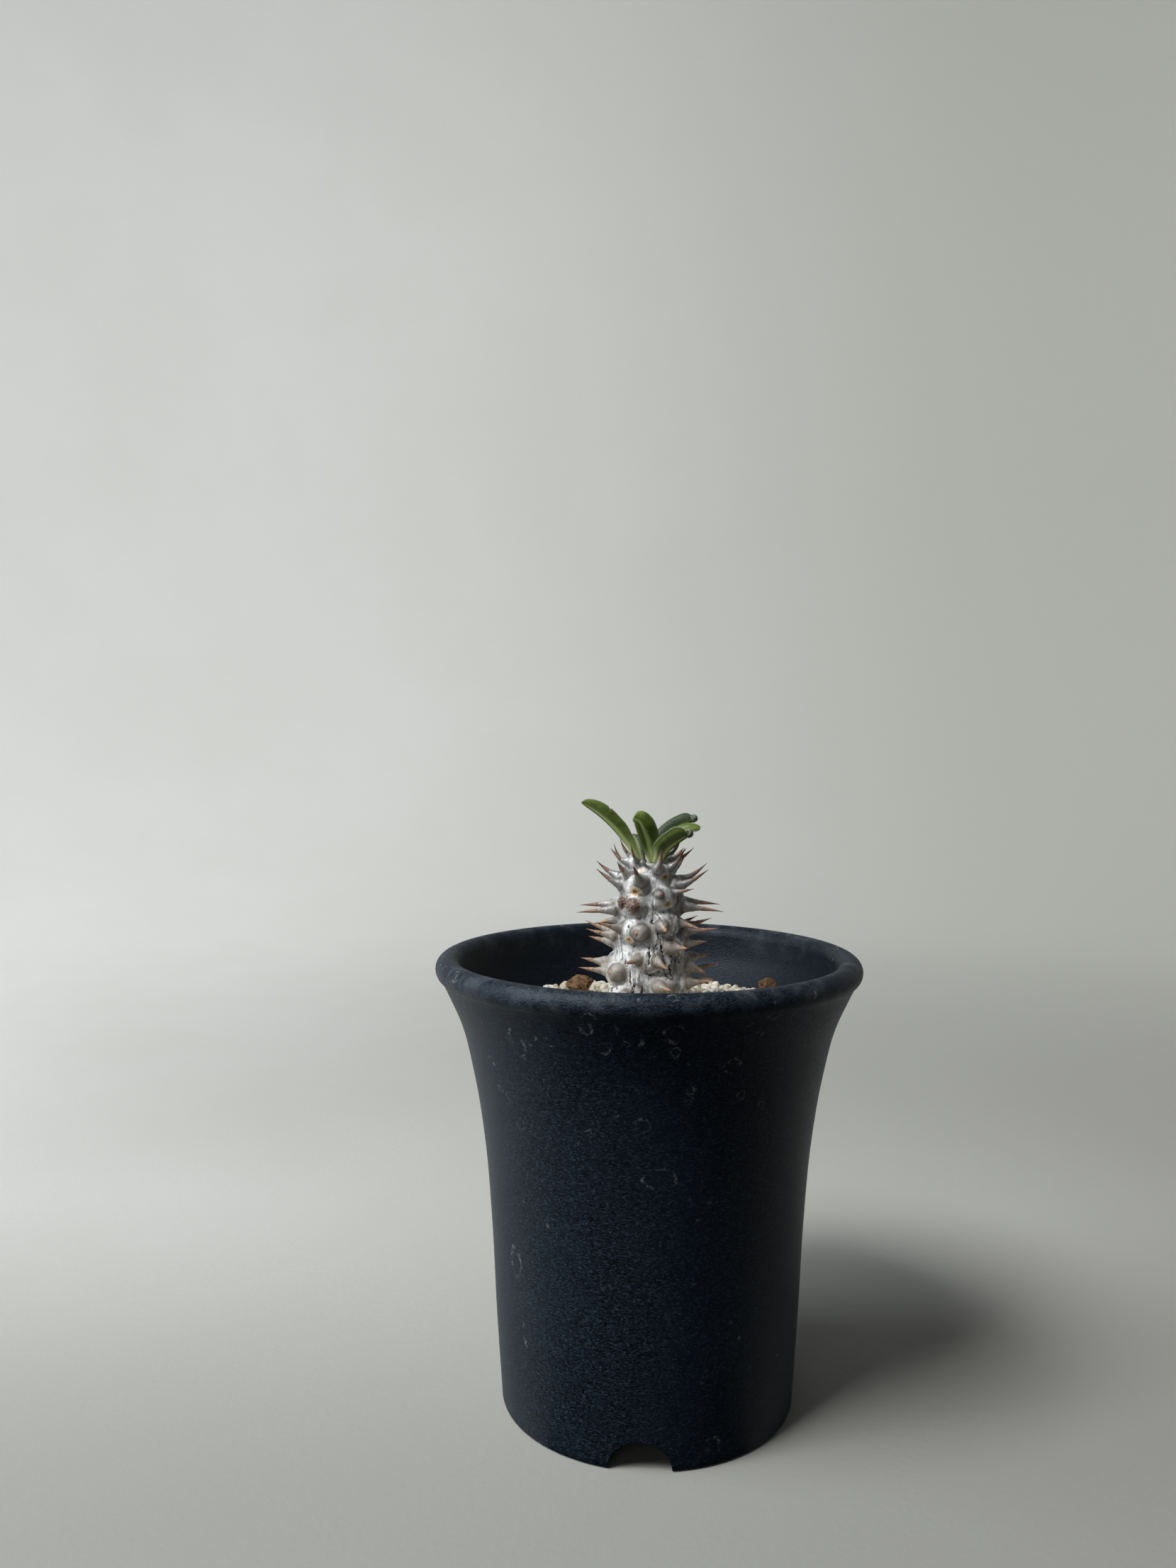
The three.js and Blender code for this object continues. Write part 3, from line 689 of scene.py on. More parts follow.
def make_pot():
    """The wall, lip, foot and raised floor turned in one, then the notches and drain holes cut."""
    floor_top = SKIRT_HEIGHT + FLOOR_THICKNESS

    def wall(height, inset=0.0):
        return (wall_radius(height) - inset, float(height))

    foot = WALL / 2
    profile = [(0, SKIRT_HEIGHT)]
    profile += [wall(height, WALL) for height in np.linspace(SKIRT_HEIGHT, FOOT_ROUNDING, 6)]
    profile += arc((FOOT_RADIUS - foot, FOOT_ROUNDING), (foot, FOOT_ROUNDING), 180, 360, 9)
    profile += [wall(height) for height in np.linspace(FOOT_ROUNDING + 0.6, OUTER_WALL[-1][0], 48)]
    lip = (RIM_RADIUS - LIP_RADIUS, POT_HEIGHT - LIP_RADIUS)
    profile += arc(lip, (LIP_RADIUS, LIP_RADIUS), -60, 180, 21)
    profile += [wall(height, WALL) for height in np.linspace(OUTER_WALL[-1][0], floor_top, 36)]
    profile.append((0, floor_top))
    shape = spun(profile, 192)
    cutters = []
    for notch in range(NOTCH_COUNT):
        outward = heading(NOTCH_TURN + 360 / NOTCH_COUNT * notch)
        cutters.append(cylinder(NOTCH_RADIUS, 4 * WALL, outward * (FOOT_RADIUS - foot), outward))
    drains = [heading(NOTCH_TURN + 360 / DRAIN_RING_HOLES * hole) for hole in range(DRAIN_RING_HOLES)]
    for place in [Vector((0, 0, 0))] + [outward * DRAIN_RING for outward in drains]:
        middle = place + Vector((0, 0, SKIRT_HEIGHT + FLOOR_THICKNESS / 2))
        cutters.append(cylinder(DRAIN_RADIUS, 3 * FLOOR_THICKNESS, middle, (0, 0, 1)))
    cutter = meshed("cutters", joined(cutters))
    cut = baked(shape, "BOOLEAN", object=cutter, operation="DIFFERENCE", solver="EXACT")
    bpy.data.meshes.remove(cutter.data)
    points = places(cut)
    # The inner wall above the floor, which the finish darkens as painted shade and keeps free of dried
    # water.
    inner = curve_through(OUTER_WALL, points[:, 2]) - WALL / 2 - np.hypot(points[:, 0], points[:, 1])
    above_floor = smoothstep(floor_top - 1, floor_top, points[:, 2])
    set_values(cut, "inside", smoothstep(0, 0.8, inner) * above_floor)
    piece("pot_body", cut, "pot_plastic", "pot", sharp=35)


def gravel_top(x, y):
    """How high the gravel's surface lies at a place."""
    level = GRAVEL_LEVEL + 0.1 + 0.4 * smoothstep(26, 32, np.hypot(x, y))
    for middle_x, middle_y, height, width in (GRAVEL_MOUND, GRAVEL_HOLLOW):
        level += height * np.exp(-((x - middle_x)**2 + (y - middle_y)**2) / width)
    for node in PUMICE_SEEDS:
        low, high = (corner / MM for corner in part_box(node))
        apart = np.hypot(x - (low.x + high.x) / 2, y - (low.y + high.y) / 2)
        level = np.minimum(level, low.z + 0.15 + 1.5 * smoothstep(1.9, 3.6, apart))
    return level


def chipped(points, cuts, picker, nearest, farthest):
    """Cuts flats on round points by random planes, as stone breaks."""
    for _ in range(cuts):
        axis = np.array([picker.gauss(0, 1) for _ in range(3)])
        axis /= np.linalg.norm(axis)
        beyond = points @ axis - picker.uniform(nearest, farthest)
        points = points - np.outer(np.clip(beyond, 0, None), axis)
    return points


def white_gravel():
    shader, place, tone = new_finish("white_gravel", "tone", Specular_IOR_Level=0.35)
    cloud = noise_of(place, 900, 4, 0.6)
    base = ramp(
        tone, (0, (180, 166, 140)), (0.25, (202, 193, 174)), (0.6, (216, 210, 196)),
        (1, (228, 225, 217)),
    )
    base = blended(between(cloud, 0.45, 0.8, 0, 0.5), base, (184, 172, 150))
    fill(shader, {
        "Base Color": blended(specks(place, 3200, 0.62, 0.75, 0.35, 2), base, (120, 104, 84)),
        "Roughness": between(cloud, 0.3, 0.7, 0.55, 0.85),
        "Normal": bump(noise_of(place, 2600, 4, 0.65), 0.5, 0.12),
    })


def copies_of_ball(fineness, count):
    """Many round balls in one shape, made from one by copying all that there is over and over."""
    shape = ball(fineness)
    size, faces = len(shape.verts), len(shape.faces)
    done = 1
    while done < count:
        more = min(done, count - done)
        bmesh.ops.duplicate(shape, geom=shape.verts[:more * size] + shape.faces[:more * faces])
        done += more
    return shape


def make_gravel():
    """White grains laid in a sunflower spiral, two layers deep, on a rough bed."""
    picker = random.Random(GRAVEL_SEED)
    edge = wall_radius(GRAVEL_LEVEL) - WALL
    grains = []
    golden = math.pi * (3 - math.sqrt(5))
    for layer, faces in ((0, 2), (1, 1)):
        spacing = GRAIN_SPACING * (1 + 0.15 * layer)
        count = int(math.pi * edge**2 / (0.87 * spacing**2))
        for index in range(count):
            reach = (edge - 0.35) * math.sqrt((index + 0.5) / count)
            turn = index * golden + layer
            radius = picker.uniform(*GRAIN_RADIUS) * picker.choice((0.8, 1, 1, 1.1))
            x = reach * math.cos(turn) + picker.uniform(-0.35, 0.35)
            y = reach * math.sin(turn) + picker.uniform(-0.35, 0.35)
            away = math.hypot(x, y)
            if away < float(bark_radius(GRAVEL_LEVEL)) + 0.35 * radius:
                continue
            wall = wall_radius(GRAVEL_LEVEL - layer) - WALL - radius
            if away > wall:
                x, y = x * wall / away, y * wall / away
            z = float(gravel_top(x, y)) - 0.8 * radius + picker.uniform(-0.35, 0.25) - 1.1 * layer
            grains.append((faces, Vector((x, y, z)), radius))
    counts = {kind: sum(faces == kind for faces, _, _ in grains) for kind in (2, 1)}
    shape = joined([copies_of_ball(kind, count) for kind, count in counts.items()])
    points = places(shape)
    tones = np.empty(len(points))
    start = 0
    for faces, middle, radius in grains:
        end = start + (42 if faces == 2 else 12)
        grain = chipped(points[start:end], GRAIN_FACETS, picker, 0.62, 0.95)
        scale = np.array([picker.uniform(*span) for span in GRAIN_SPANS])
        spin = Matrix.Rotation(picker.uniform(0, math.tau), 3, "Z")
        spin = spin @ Matrix.Rotation(picker.gauss(0, 0.5), 3, "X")
        points[start:end] = (grain * scale * radius) @ np.array(spin).T + np.array(middle)
        tones[start:end] = picker.random()
        start = end
    move(shape, points)
    bed_top = GRAVEL_LEVEL - 2.2
    bed = spun([(0, GRAVEL_BED), (edge - 1.3, GRAVEL_BED), (edge - 0.6, bed_top), (0, bed_top)], 64)
    # The bed takes a dark gravel tone, painted shade for the grains lower down.
    tones = np.concatenate([tones, np.full(len(bed.verts), 0.1)])
    whole = joined([shape, bed])
    set_values(whole, "tone", tones)
    piece("gravel_grains", whole, "white_gravel", "top_dressing", sharp=28)


def brown_pumice():
    shader, place, pore_shade = new_finish("brown_pumice", "pore_shade", Specular_IOR_Level=0.2, Roughness=0.95)
    base = blended(between(noise_of(place, 1100, 4, 0.6), 0.3, 0.7), (82, 61, 44), (128, 100, 73))
    # Painted shade: the pores are coloured dark, as shade in the hollows.
    base = blended(pore_shade, base, (44, 28, 18))
    fill(shader, {
        "Base Color": blended(specks(place, 5200, 0.6, 0.72, 0.5), base, (176, 150, 118)),
        "Normal": bump(noise_of(place, 5200, 3, 0.6), 0.7, 0.12),
    })


def make_pumice(node, seed):
    """A chipped chunk that is pitted with pores."""
    picker = random.Random(seed)
    low, high = (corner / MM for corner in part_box(node))
    high.z += PUMICE_TALLER[node]
    half = (high - low) / 2
    shape = ball(6)
    points = chipped(places(shape), 9, picker, 0.72, 0.9)
    pores = np.zeros(len(points))
    lumps = np.zeros(len(points))
    for index, point in enumerate(points):
        at = Vector(point * np.array(half))
        near = noise.voronoi(at * 1.15 + Vector((seed, 0, 0)))[0][0]
        small = noise.voronoi(at * 2.6 + Vector((0, seed, 0)))[0][0]
        pores[index] = max(1 - near / 0.3, 0.6 - small / 0.45, 0)
        lumps[index] = noise.fractal(at * 0.9, 0.8, 2.2, 3)
    points = points * (1 + 0.09 * lumps - 0.16 * np.clip(pores, 0, 1) ** 0.7)[:, None]
    span = points.max(axis=0) - points.min(axis=0)
    points = (points - points.min(axis=0)) / span * np.array(2 * half) + np.array(low)
    move(shape, points)
    # The pore mask carries the painted shade of the pits into the finish.
    set_values(shape, "pore_shade", smoothstep(0.08, 0.55, pores))
    piece(node + "_chunk", shape, "brown_pumice", node)


def growing_mix():
    shader, place = new_finish("growing_mix", Specular_IOR_Level=0.2, Roughness=0.95)
    crumb = noise_of(place, 420, 5, 0.7)
    base = blended(between(crumb, 0.35, 0.65), (66, 46, 32), (132, 98, 68))
    fill(shader, {
        "Base Color": blended(specks(place, 1300, 0.64, 0.7, 0.7, 2), base, (196, 180, 150)),
        "Normal": bump(crumb, 1, 0.8),
    })


def all_warts():
    """The seen warts, and the front ones again half a turn round with small changes."""
    picker = random.Random(WART_SEED)
    warts = list(WARTS)
    for turn, height, size, lobes in WARTS:
        if abs(turn) >= HIDDEN_WITHIN:
            continue
        shift = HIDDEN_TURN + picker.uniform(-4, 4)
        drop = picker.uniform(0, 0.9)
        again = []
        for lobe_turn, lobe_height, radius, stand, reach, rise, towards in lobes:
            reach *= picker.uniform(0.95, 1.3)
            rise += picker.uniform(-6, 6)
            again.append((
                lobe_turn + shift, lobe_height - drop, radius, stand, reach, rise, towards + shift,
            ))
        warts.append((turn + shift, height - drop, size, again))
    return warts


def lobe_path(lobe, share):
    """The point on a lobe's bent axis at a share of its reach."""
    turn, height, radius, stand, reach, rise, towards = lobe
    seat = on_stem(turn, height, stand)
    if reach <= 0:
        return seat + heading(turn, 12) * share * radius
    aim = heading(towards, rise)
    start = (heading(turn) + aim * 0.8).normalized()
    bend = seat + start * reach * 0.38
    return seat * (1 - share)**2 + bend * 2 * share * (1 - share) + (seat + aim * reach) * share**2


def lobe_fleshy(lobe):
    """The share of the reach where the fleshy lobe ends and its spine goes on bare."""
    radius, reach = lobe[2], lobe[4]
    return min(0.75, max(0.58, 2.4 * radius / reach))


def spine_radius(lobe):
    return SPINE_RADIUS * min(1, 0.3 + 0.65 * lobe[2])


def lobe_rings(lobe):
    """Points and radii down a lobe: a swollen ball that tapers into its spine."""
    radius, reach = lobe[2], lobe[4]
    seat = lobe_path(lobe, 0)
    inward = -heading(lobe[0])
    points = [seat + inward * radius * 0.92, seat + inward * radius * 0.6]
    radii = [0.35 * radius, 0.8 * radius]
    if reach <= 0:
        for share, part in ((0, 1), (0.45, 0.9), (0.75, 0.66), (0.95, 0.3)):
            points.append(lobe_path(lobe, share))
            radii.append(part * radius)
        return points, radii
    fleshy = lobe_fleshy(lobe)
    for step in range(8):
        share = fleshy * step / 7
        away = share * reach
        ball = math.sqrt(max(0, 1 - (away / (1.2 * radius))**2)) * radius
        cone = radius * 0.95 + (spine_radius(lobe) * 1.05 - radius * 0.95) * (step / 7)**0.95
        points.append(lobe_path(lobe, share))
        radii.append(max(ball, cone))
    return points, radii


def pad_outlines():
    """Grooves round the lower edge of each front pad; the finish darkens them grey like shallow fissures,
    as painted shade under the pad's edge.
    """
    runs = []
    for turn, height, size, _ in WARTS:
        if abs(turn) >= HIDDEN_WITHIN or height > 94 or height < 75:
            continue
        run = []
        for a in range(-65, 86, 15):
            across = 0.97 * PAD_WIDTH * size * math.sin(math.radians(a))
            low = height - 0.97 * PAD_HEIGHT * size * math.cos(math.radians(a))
            run.append((turn + math.degrees(across / (float(bark_radius(height)) + 0.4)), low))
        runs.append(run)
    return runs


def crack_distance(turns, heights, radii):
    """How far each bark point is from the nearest fissure, measured over the bark in millimetres."""
    nearest = np.full(len(turns), 9.0)
    # Pad outlines count as shallow fissures: cut less deep and darkened only to grey, as painted shade.
    runs = [(run, 0) for run in FISSURES] + [(run, 0.07) for run in pad_outlines()]
    runs = [(0, *run) for run in runs] + [(HIDDEN_TURN, *run) for run in runs]
    for shift, run, shallow in runs:
        middle = run[0][0] + shift
        around = (turns - middle + 180) % 360 - 180
        across = np.radians(around) * radii
        drop = HIDDEN_DROP if shift else 0
        line = [(math.radians(t + shift - middle) * float(bark_radius(h)), h - drop) for t, h in run]
        for (x0, y0), (x1, y1) in zip(line, line[1:]):
            dx, dy = x1 - x0, y1 - y0
            along = np.clip(((across - x0) * dx + (heights - y0) * dy) / (dx * dx + dy * dy), 0, 1)
            away = np.hypot(across - x0 - along * dx, heights - y0 - along * dy)
            nearest = np.minimum(nearest, away + shallow)
    return nearest


def bark_facts(points, warts):
    """For each bark point, how deep it lies in the nearest lobe, its crease, and what marks it."""
    x, y, z = points.T
    x = x - stem_middle(z)
    body = np.hypot(x, y) - bark_radius(z)
    nearest = [body]
    lobe_near = np.full(len(points), 9.0)
    tint = np.zeros(len(points))
    dry = np.zeros(len(points))
    horn = np.zeros(len(points))
    picker = random.Random(TINT_SEED)
    for turn, height, size, lobes in warts:
        middle = np.array(on_stem(turn, height))
        outward, sideways = np.array(heading(turn)), np.array(heading(turn + 90))
        local = points - middle
        parts = [local @ sideways / (PAD_WIDTH * size), local[:, 2] / (PAD_HEIGHT * size)]
        parts.append(local @ outward / (PAD_RISE * size))
        nearest.append((np.sqrt(sum(part**2 for part in parts)) - 1) * PAD_RISE * size)
        for lobe in lobes:
            where, radii = lobe_rings(lobe)
            near = np.full(len(points), 9.0)
            for step, (point, radius) in enumerate(zip(where, radii)):
                apart = np.linalg.norm(points - np.array(point), axis=1) - radius
                near = np.minimum(near, apart)
                if lobe[4] > 2.2 and step > 5:
                    touch = np.exp(-(np.clip(apart, 0, None) / 0.25)**2)
                    horn = np.maximum(horn, (step - 5) / 4 * touch)
            nearest.append(near)
            own = picker.random()
            tint = np.where(near < lobe_near, own, tint)
            lobe_near = np.minimum(lobe_near, near)
            if lobe[4] < 0:
                reach = np.linalg.norm(points - np.array(lobe_path(lobe, 0.8)), axis=1) / lobe[2]
                dry = np.maximum(dry, 1 - smoothstep(1.05, 1.35, reach))
    second = np.sort(np.abs(np.array(nearest)), axis=0)[1]
    lobe_share = 1 - smoothstep(0.0, 0.35, lobe_near)
    flush = 1 - smoothstep(-0.15, 1.0, lobe_near)
    return lobe_share, flush, np.exp(-(second / 0.13)**2), tint, dry, horn


def scar_share(points):
    """How near each point is to a leaf scar: 1 at its middle, 0 past its cream patch."""
    share = np.zeros(len(points))
    for shift in (0, HIDDEN_TURN):
        for turn, height, radius in SCARS:
            middle = np.array(on_stem(turn + shift, height - (0.5 if shift else 0), 0.9))
            sideways = np.array(heading(turn + shift + 90))
            local = points - middle
            outward = local @ np.array(heading(turn + shift))
            away = np.sqrt((local @ sideways / 1.35)**2 + local[:, 2]**2 + 0.2 * outward**2) / radius
            share = np.maximum(share, 1 - np.clip(away / 1.6, 0, 1))
    return share


def bark_skin(warts):
    """Bark, warts and lobes grown into one smooth skin."""
    profile = [(0, BARK_START)]
    profile += [(float(bark_radius(h)), float(h)) for h in np.linspace(BARK_START, 95.6, 31)]
    body = spun(profile + [(2.7, 96.3), (1.9, 96.6), (1, 96.8), (0, 96.9)], 48)
    shaped = places(body)
    shaped[:, 0] += stem_middle(shaped[:, 2])
    move(body, shaped)
    parts = [body]
    for turn, height, size, lobes in warts:
        pad = ball(3)
        local = places(pad) * size
        outward, sideways = np.array(heading(turn)), np.array(heading(turn + 90))
        grown = np.outer(local[:, 0] * PAD_WIDTH, sideways) + np.outer(local[:, 1] * PAD_RISE, outward)
        grown[:, 2] += local[:, 2] * PAD_HEIGHT
        move(pad, grown + np.array(on_stem(turn, height)))
        bmesh.ops.recalc_face_normals(pad, faces=pad.faces)
        parts.append(pad)
        parts += [rod(*lobe_rings(lobe), 20) for lobe in lobes]
    skin = baked(joined(parts), "REMESH", mode="VOXEL", voxel_size=VOXEL)
    for _ in range(6):
        bmesh.ops.smooth_vert(
            skin, verts=skin.verts, factor=0.5, use_axis_x=True, use_axis_y=True, use_axis_z=True,
        )
    return skin


def crack_of(points):
    """How far each point is from the nearest fissure, which wanders about its line."""
    wander = sum(
        np.array([noise.noise_vector(Vector(point) * fineness) for point in points]) * amount
        for fineness, amount in ((0.75, 0.45), (2.6, 0.2))
    )
    x, y, z = (points + wander).T
    return crack_distance(np.degrees(np.arctan2(x - stem_middle(z), -y)), z, bark_radius(z))


def lumps_of(points, fineness, falloff, octaves):
    return np.array([noise.fractal(Vector(point) * fineness, falloff, 2.1, octaves) for point in points])


def weather(skin, warts):
    """Cuts the cracks, creases, craters and scars into the skin, and returns what marks each point."""
    near = crack_of(places(skin)) < CRACK_REACH
    close = {vert for vert, is_near in zip(skin.verts, near) if is_near}
    edges = [edge for edge in skin.edges if edge.verts[0] in close and edge.verts[1] in close]
    bmesh.ops.subdivide_edges(skin, edges=edges, cuts=2, use_grid_fill=True)
    bmesh.ops.triangulate(skin, faces=[face for face in skin.faces if len(face.verts) > 4])
    points = places(skin)
    skin.normal_update()
    normals = np.array([vert.normal for vert in skin.verts])
    lobe, flush, crease, tint, dry, horn = bark_facts(points, warts)
    crack, scar = crack_of(points), scar_share(points)
    bare = 1 - 0.85 * lobe
    lumps, ragged = lumps_of(points, 0.55, 0.7, 4), lumps_of(points, 2.2, 0.8, 3)
    low = 1 - smoothstep(76, 92, points[:, 2])
    width = (0.055 + 0.06 * low) * np.clip(1 + 1.3 * lumps, 0.5, 1.8)
    lift = 0.1 * lumps * bare + 0.05 * ragged * bare * low
    lift -= (0.3 + 0.14 * low) * np.exp(-(crack / width)**2) * bare + 0.05 * crease * (1 - dry)
    lift += 0.05 * np.exp(-((crack - 0.34) / 0.14)**2) * bare
    lift -= dry * (0.42 + 0.2 * ragged)
    lift -= 0.12 * smoothstep(0.55, 0.95, scar)
    move(skin, points + normals * lift[:, None])
    return {
        "lobe": flush, "crease": crease, "tint": tint, "dry": dry, "scar": scar, "horn": horn,
        "fissure": np.exp(-(crack / (width * 1.05))**2) * bare, "spine": np.full(len(points), -1.0),
    }


def make_stem():
    """The weathered bark with its root below the gravel and its spines set in the lobes."""
    noise.seed_set(CRACK_SEED)
    warts = all_warts()
    skin = bark_skin(warts)
    facts = weather(skin, warts)
    foot, top = STEM_OUTLINE[0][0], BARK_START + 0.5
    profile = [(float(bark_radius(h)), float(h)) for h in np.linspace(foot, top, 14)]
    root = spun([(0, foot)] + profile + [(0, top)], 32)
    extra = {name: [np.zeros(len(root.verts))] for name in facts}
    extra["spine"] = [np.full(len(root.verts), -1.0)]
    parts = [skin, root]
    picker = random.Random(SPINE_SEED)
    for lobe in [lobe for _, _, _, lobes in warts for lobe in lobes if lobe[4] > 0]:
        start, end = 0.7 * lobe_fleshy(lobe), lobe_fleshy(lobe)
        steps = np.linspace(start, 1, 9)
        radii = spine_radius(lobe) * (1 - np.clip((steps - end) / (1 - end), 0, 1))**1.15 + 0.025
        spine = rod([lobe_path(lobe, float(step)) for step in steps], [float(r) for r in radii], 9)
        parts.append(spine)
        for name, values in extra.items():
            values.append(np.zeros(len(spine.verts)))
        extra["spine"][-1] = np.repeat(np.clip((steps - start) / (1 - start), 0, 1), 9)
        extra["tint"][-1] = np.full(len(spine.verts), picker.random())
    whole = joined(parts)
    for name, values in facts.items():
        set_values(whole, name, np.concatenate([values] + extra[name]))
    piece("stem_bark", whole, "silver_bark", "stem")


def silver_bark():
    """White and weathered low down, silvery and smooth near the top, marked as the points say, with
    painted shade in its creases.
    """
    shader, place, lobe, tint, crease, horn, scar, dry, fissure, spine = new_finish(
        "silver_bark", "lobe", "tint", "crease", "horn", "scar", "dry", "fissure", "spine",
        Specular_IOR_Level=0.55, Coat_Roughness=0.22,
    )
    height = parts_of(place)["Z"]
    upright = stretched(place, (1, 1, 0.45))
    cloud = noise_of(place, 320, 4, 0.6, 0.4)
    fibre = noise_of(upright, 2400, 4, 0.65, 0.8)
    crackle = cells_of(noise_warp(upright, 700, 0.0009), 430, "DISTANCE_TO_EDGE")["Distance"]
    fine = times(between(crackle, 0, 0.085, 1, 0), between(noise_of(place, 380, 2), 0.42, 0.6))
    fine = times(fine, between(height, 0.08, 0.096, 1, 0.25), between(lobe, 0, 0.6, 1, 0))
    streaks = specks(stretched(place, (1, 1, 0.3)), 1300, 0.51, 0.63, 1, 4, 0.7, 0.5)
    weathered = times(streaks, between(height, 0.08, 0.094, 0.75, 0.35), between(lobe, 0.2, 0.8, 1, 0.2))
    horny = maths("ADD", horn, times(fibre, 0.15))
    spot = maths("ADD", scar, times(maths("SUBTRACT", fibre, 0.5), 0.6))
    lobe_tone = coats(
        blended(tint, (106, 90, 72), (158, 147, 134)),
        (between(height, 0.083, 0.092), (132, 132, 131)),
        (between(cloud, 0.4, 0.65, 0, 0.5), (170, 164, 154)),
        (between(fibre, 0.5, 0.7, 0, 0.55), (86, 72, 62)),
    )
    bark = coats(
        blended(between(cloud, 0.32, 0.62), (166, 166, 165), (243, 244, 244)),
        (between(fibre, 0.5, 0.72, 0, 0.6), (122, 118, 115)),
        (times(between(height, 0.069, 0.08, 0.75, 0), between(cloud, 0.6, 0.35)), (150, 143, 132)),
        (times(fine, 0.85), (62, 58, 56)),
        (weathered, (104, 100, 97)),
        (times(lobe, 0.82), lobe_tone),
        # Painted shade in the creases where the lobes and pads meet the bark.
        (times(crease, 0.65), (78, 72, 68)),
        (between(horny, 0.4, 1.1, 0, 0.85), (156, 132, 108)),
        (between(spot, 0.12, 0.34, 0, 0.75), (232, 218, 192)),
        (between(spot, 0.42, 0.6, 0, 0.75), (186, 140, 88)),
        (between(spot, 0.7, 0.86), (104, 70, 44)),
        (dry, blended(between(fibre, 0.35, 0.7), (76, 54, 44), (140, 114, 97))),
        # Dark fissures; where they follow the pad outlines their grey is painted shade.
        (between(fissure, 0.25, 0.7), (30, 27, 27)),
    )
    thorn_low = ramp(
        spine, (0, (150, 134, 114)), (0.4, (180, 146, 116)), (0.7, (186, 142, 122)),
        (1, (150, 98, 80)),
    )
    thorn_high = ramp(
        spine, (0, (136, 126, 116)), (0.35, (150, 122, 106)), (0.65, (112, 70, 62)),
        (1, (54, 32, 32)),
    )
    thorn = blended(between(height, 0.083, 0.093), thorn_low, thorn_high)
    thorn = blended(between(fibre, 0.45, 0.7, 0, 0.35), thorn, (92, 62, 52))
    coat = times(between(lobe, 0.2, 1, 0.08, 0.5), between(height, 0.083, 0.094, 0.25, 1))
    silver = times(lobe, between(height, 0.083, 0.094, 0.06, 0.5))
    relief = bump(maths("SUBTRACT", fibre, maths("ADD", fine, weathered)), 0.75, 0.2)
    fill(shader, {
        "Base Color": blended(maths("GREATER_THAN", spine, -0.5), bark, thorn),
        "Roughness": maths(
            "ADD", between(fibre, 0.3, 0.75, 0.27, 0.5), between(height, 0.08, 0.094, 0.18, 0),
        ),
        "Coat Weight": coat,
        "Metallic": times(silver, between(horn, 0.3, 0.9, 1, 0), between(dry, 0, 0.5, 1, 0)),
        "Normal": bump(cloud, 0.3, 0.4, Normal=relief),
    })


def unit(rows):
    return rows / np.linalg.norm(rows, axis=1)[:, None]


def leaf_point(leaf, along, across, side):
    """The blade's points: midrib, the two halves that spread from it, camber and thickness."""
    midrib = np.array(leaf["midrib"])
    down = (midrib[0] - midrib[1]) / np.linalg.norm(midrib[0] - midrib[1]) - np.array((0, 0, 1))
    midrib[0] += LEAF_SEAT * down / np.linalg.norm(down)
    chord = np.concatenate([[0], np.cumsum(np.linalg.norm(np.diff(midrib, axis=0), axis=1))])
    length = chord[-1]

    def line_at(share):
        columns = [curve_through(list(zip(chord / length, midrib[:, axis])), share) for axis in range(3)]
        return np.stack(columns, axis=-1)

    tangent = unit(line_at(np.clip(along + 0.01, 0, 1)) - line_at(np.clip(along - 0.01, 0, 1)))
    base = leaf["base"]
    halves = []
    for key in ("right", "left"):
        direction, width = leaf[key]
        direction = np.array(direction, float)
        blunt = leaf["blunt"] if key == leaf.get("broad", key) else 0.62
        closing = np.sqrt(np.clip(1 - np.clip((along - blunt) / (1.004 - blunt), 0, 1)**2.4, 0, 1))
        if key == "right" and "nick" in leaf:
            closing -= 0.1 * np.exp(-((along - leaf["nick"]) / 0.014)**2)
        breadth = width * (base + (1 - base) * smoothstep(0, 0.5, along)) * closing
        square = unit(direction - (tangent @ direction)[:, None] * tangent)
        halves.append(square * breadth[:, None])
    soft = 0.14
    rounded = np.sqrt(across**2 + soft**2) - soft
    to_right, to_left = np.clip((rounded + across) / 2, 0, None), np.clip((rounded - across) / 2, 0, None)
    weight = smoothstep(-0.3, 0.3, across)[:, None]
    right_under, left_under = unit(np.cross(tangent, halves[0])), -unit(np.cross(tangent, halves[1]))
    under = unit(right_under * weight + left_under * (1 - weight))
    spread = halves[0] * to_right[:, None] + halves[1] * to_left[:, None]
    edge = np.abs(across)
    width_here = np.linalg.norm(spread, axis=1) / np.clip(edge, 0.05, 1)
    camber = width_here * (0.16 * smoothstep(0.72, 1, edge) - 0.1 * np.sin(math.pi * edge))
    phase = (along * length - 0.75 * edge * width_here) / VEIN_SPACING
    quilt = 0.02 * np.cos(math.tau * phase) * np.sin(math.pi * np.clip(edge, 0, 1))
    end = np.sqrt(np.clip(1 - np.clip((along - 0.85) / 0.15, 0, 1)**2, 0, 1))
    keel = np.exp(-(across / 0.26)**4) * (1 - 0.6 * along) * end
    thick = LEAF_THICKNESS * (0.3 + 0.7 * np.sqrt(np.clip(1 - edge**3, 0, 1)) * end)
    offset = np.where(side > 0.5, thick + 0.6 * keel, 0.1 * keel)
    return line_at(along) + spread + under * (camber + quilt + offset)[:, None], phase, under


def rolled_tip(leaf, under):
    """A leaf tip that has curled under into a small tight roll."""
    size = leaf["curl"]
    tip = Vector(leaf["midrib"][-1])
    onward = (tip - Vector(leaf["midrib"][-2])).normalized()
    across = onward.cross(under).normalized()
    middle = tip + under * size * 0.5
    points, radii = [], []
    for step in range(13):
        a = math.radians(-50 + 32 * step)
        reach = size * (0.55 - 0.02 * step)
        points.append(middle - under * math.cos(a) * reach + onward * math.sin(a) * reach)
        radii.append(size * (0.3 + 0.012 * step))
    shape = rod(points, radii, 14)
    for vert in shape.verts:
        vert.co += across * (vert.co - middle).dot(across) * 0.9
    return shape


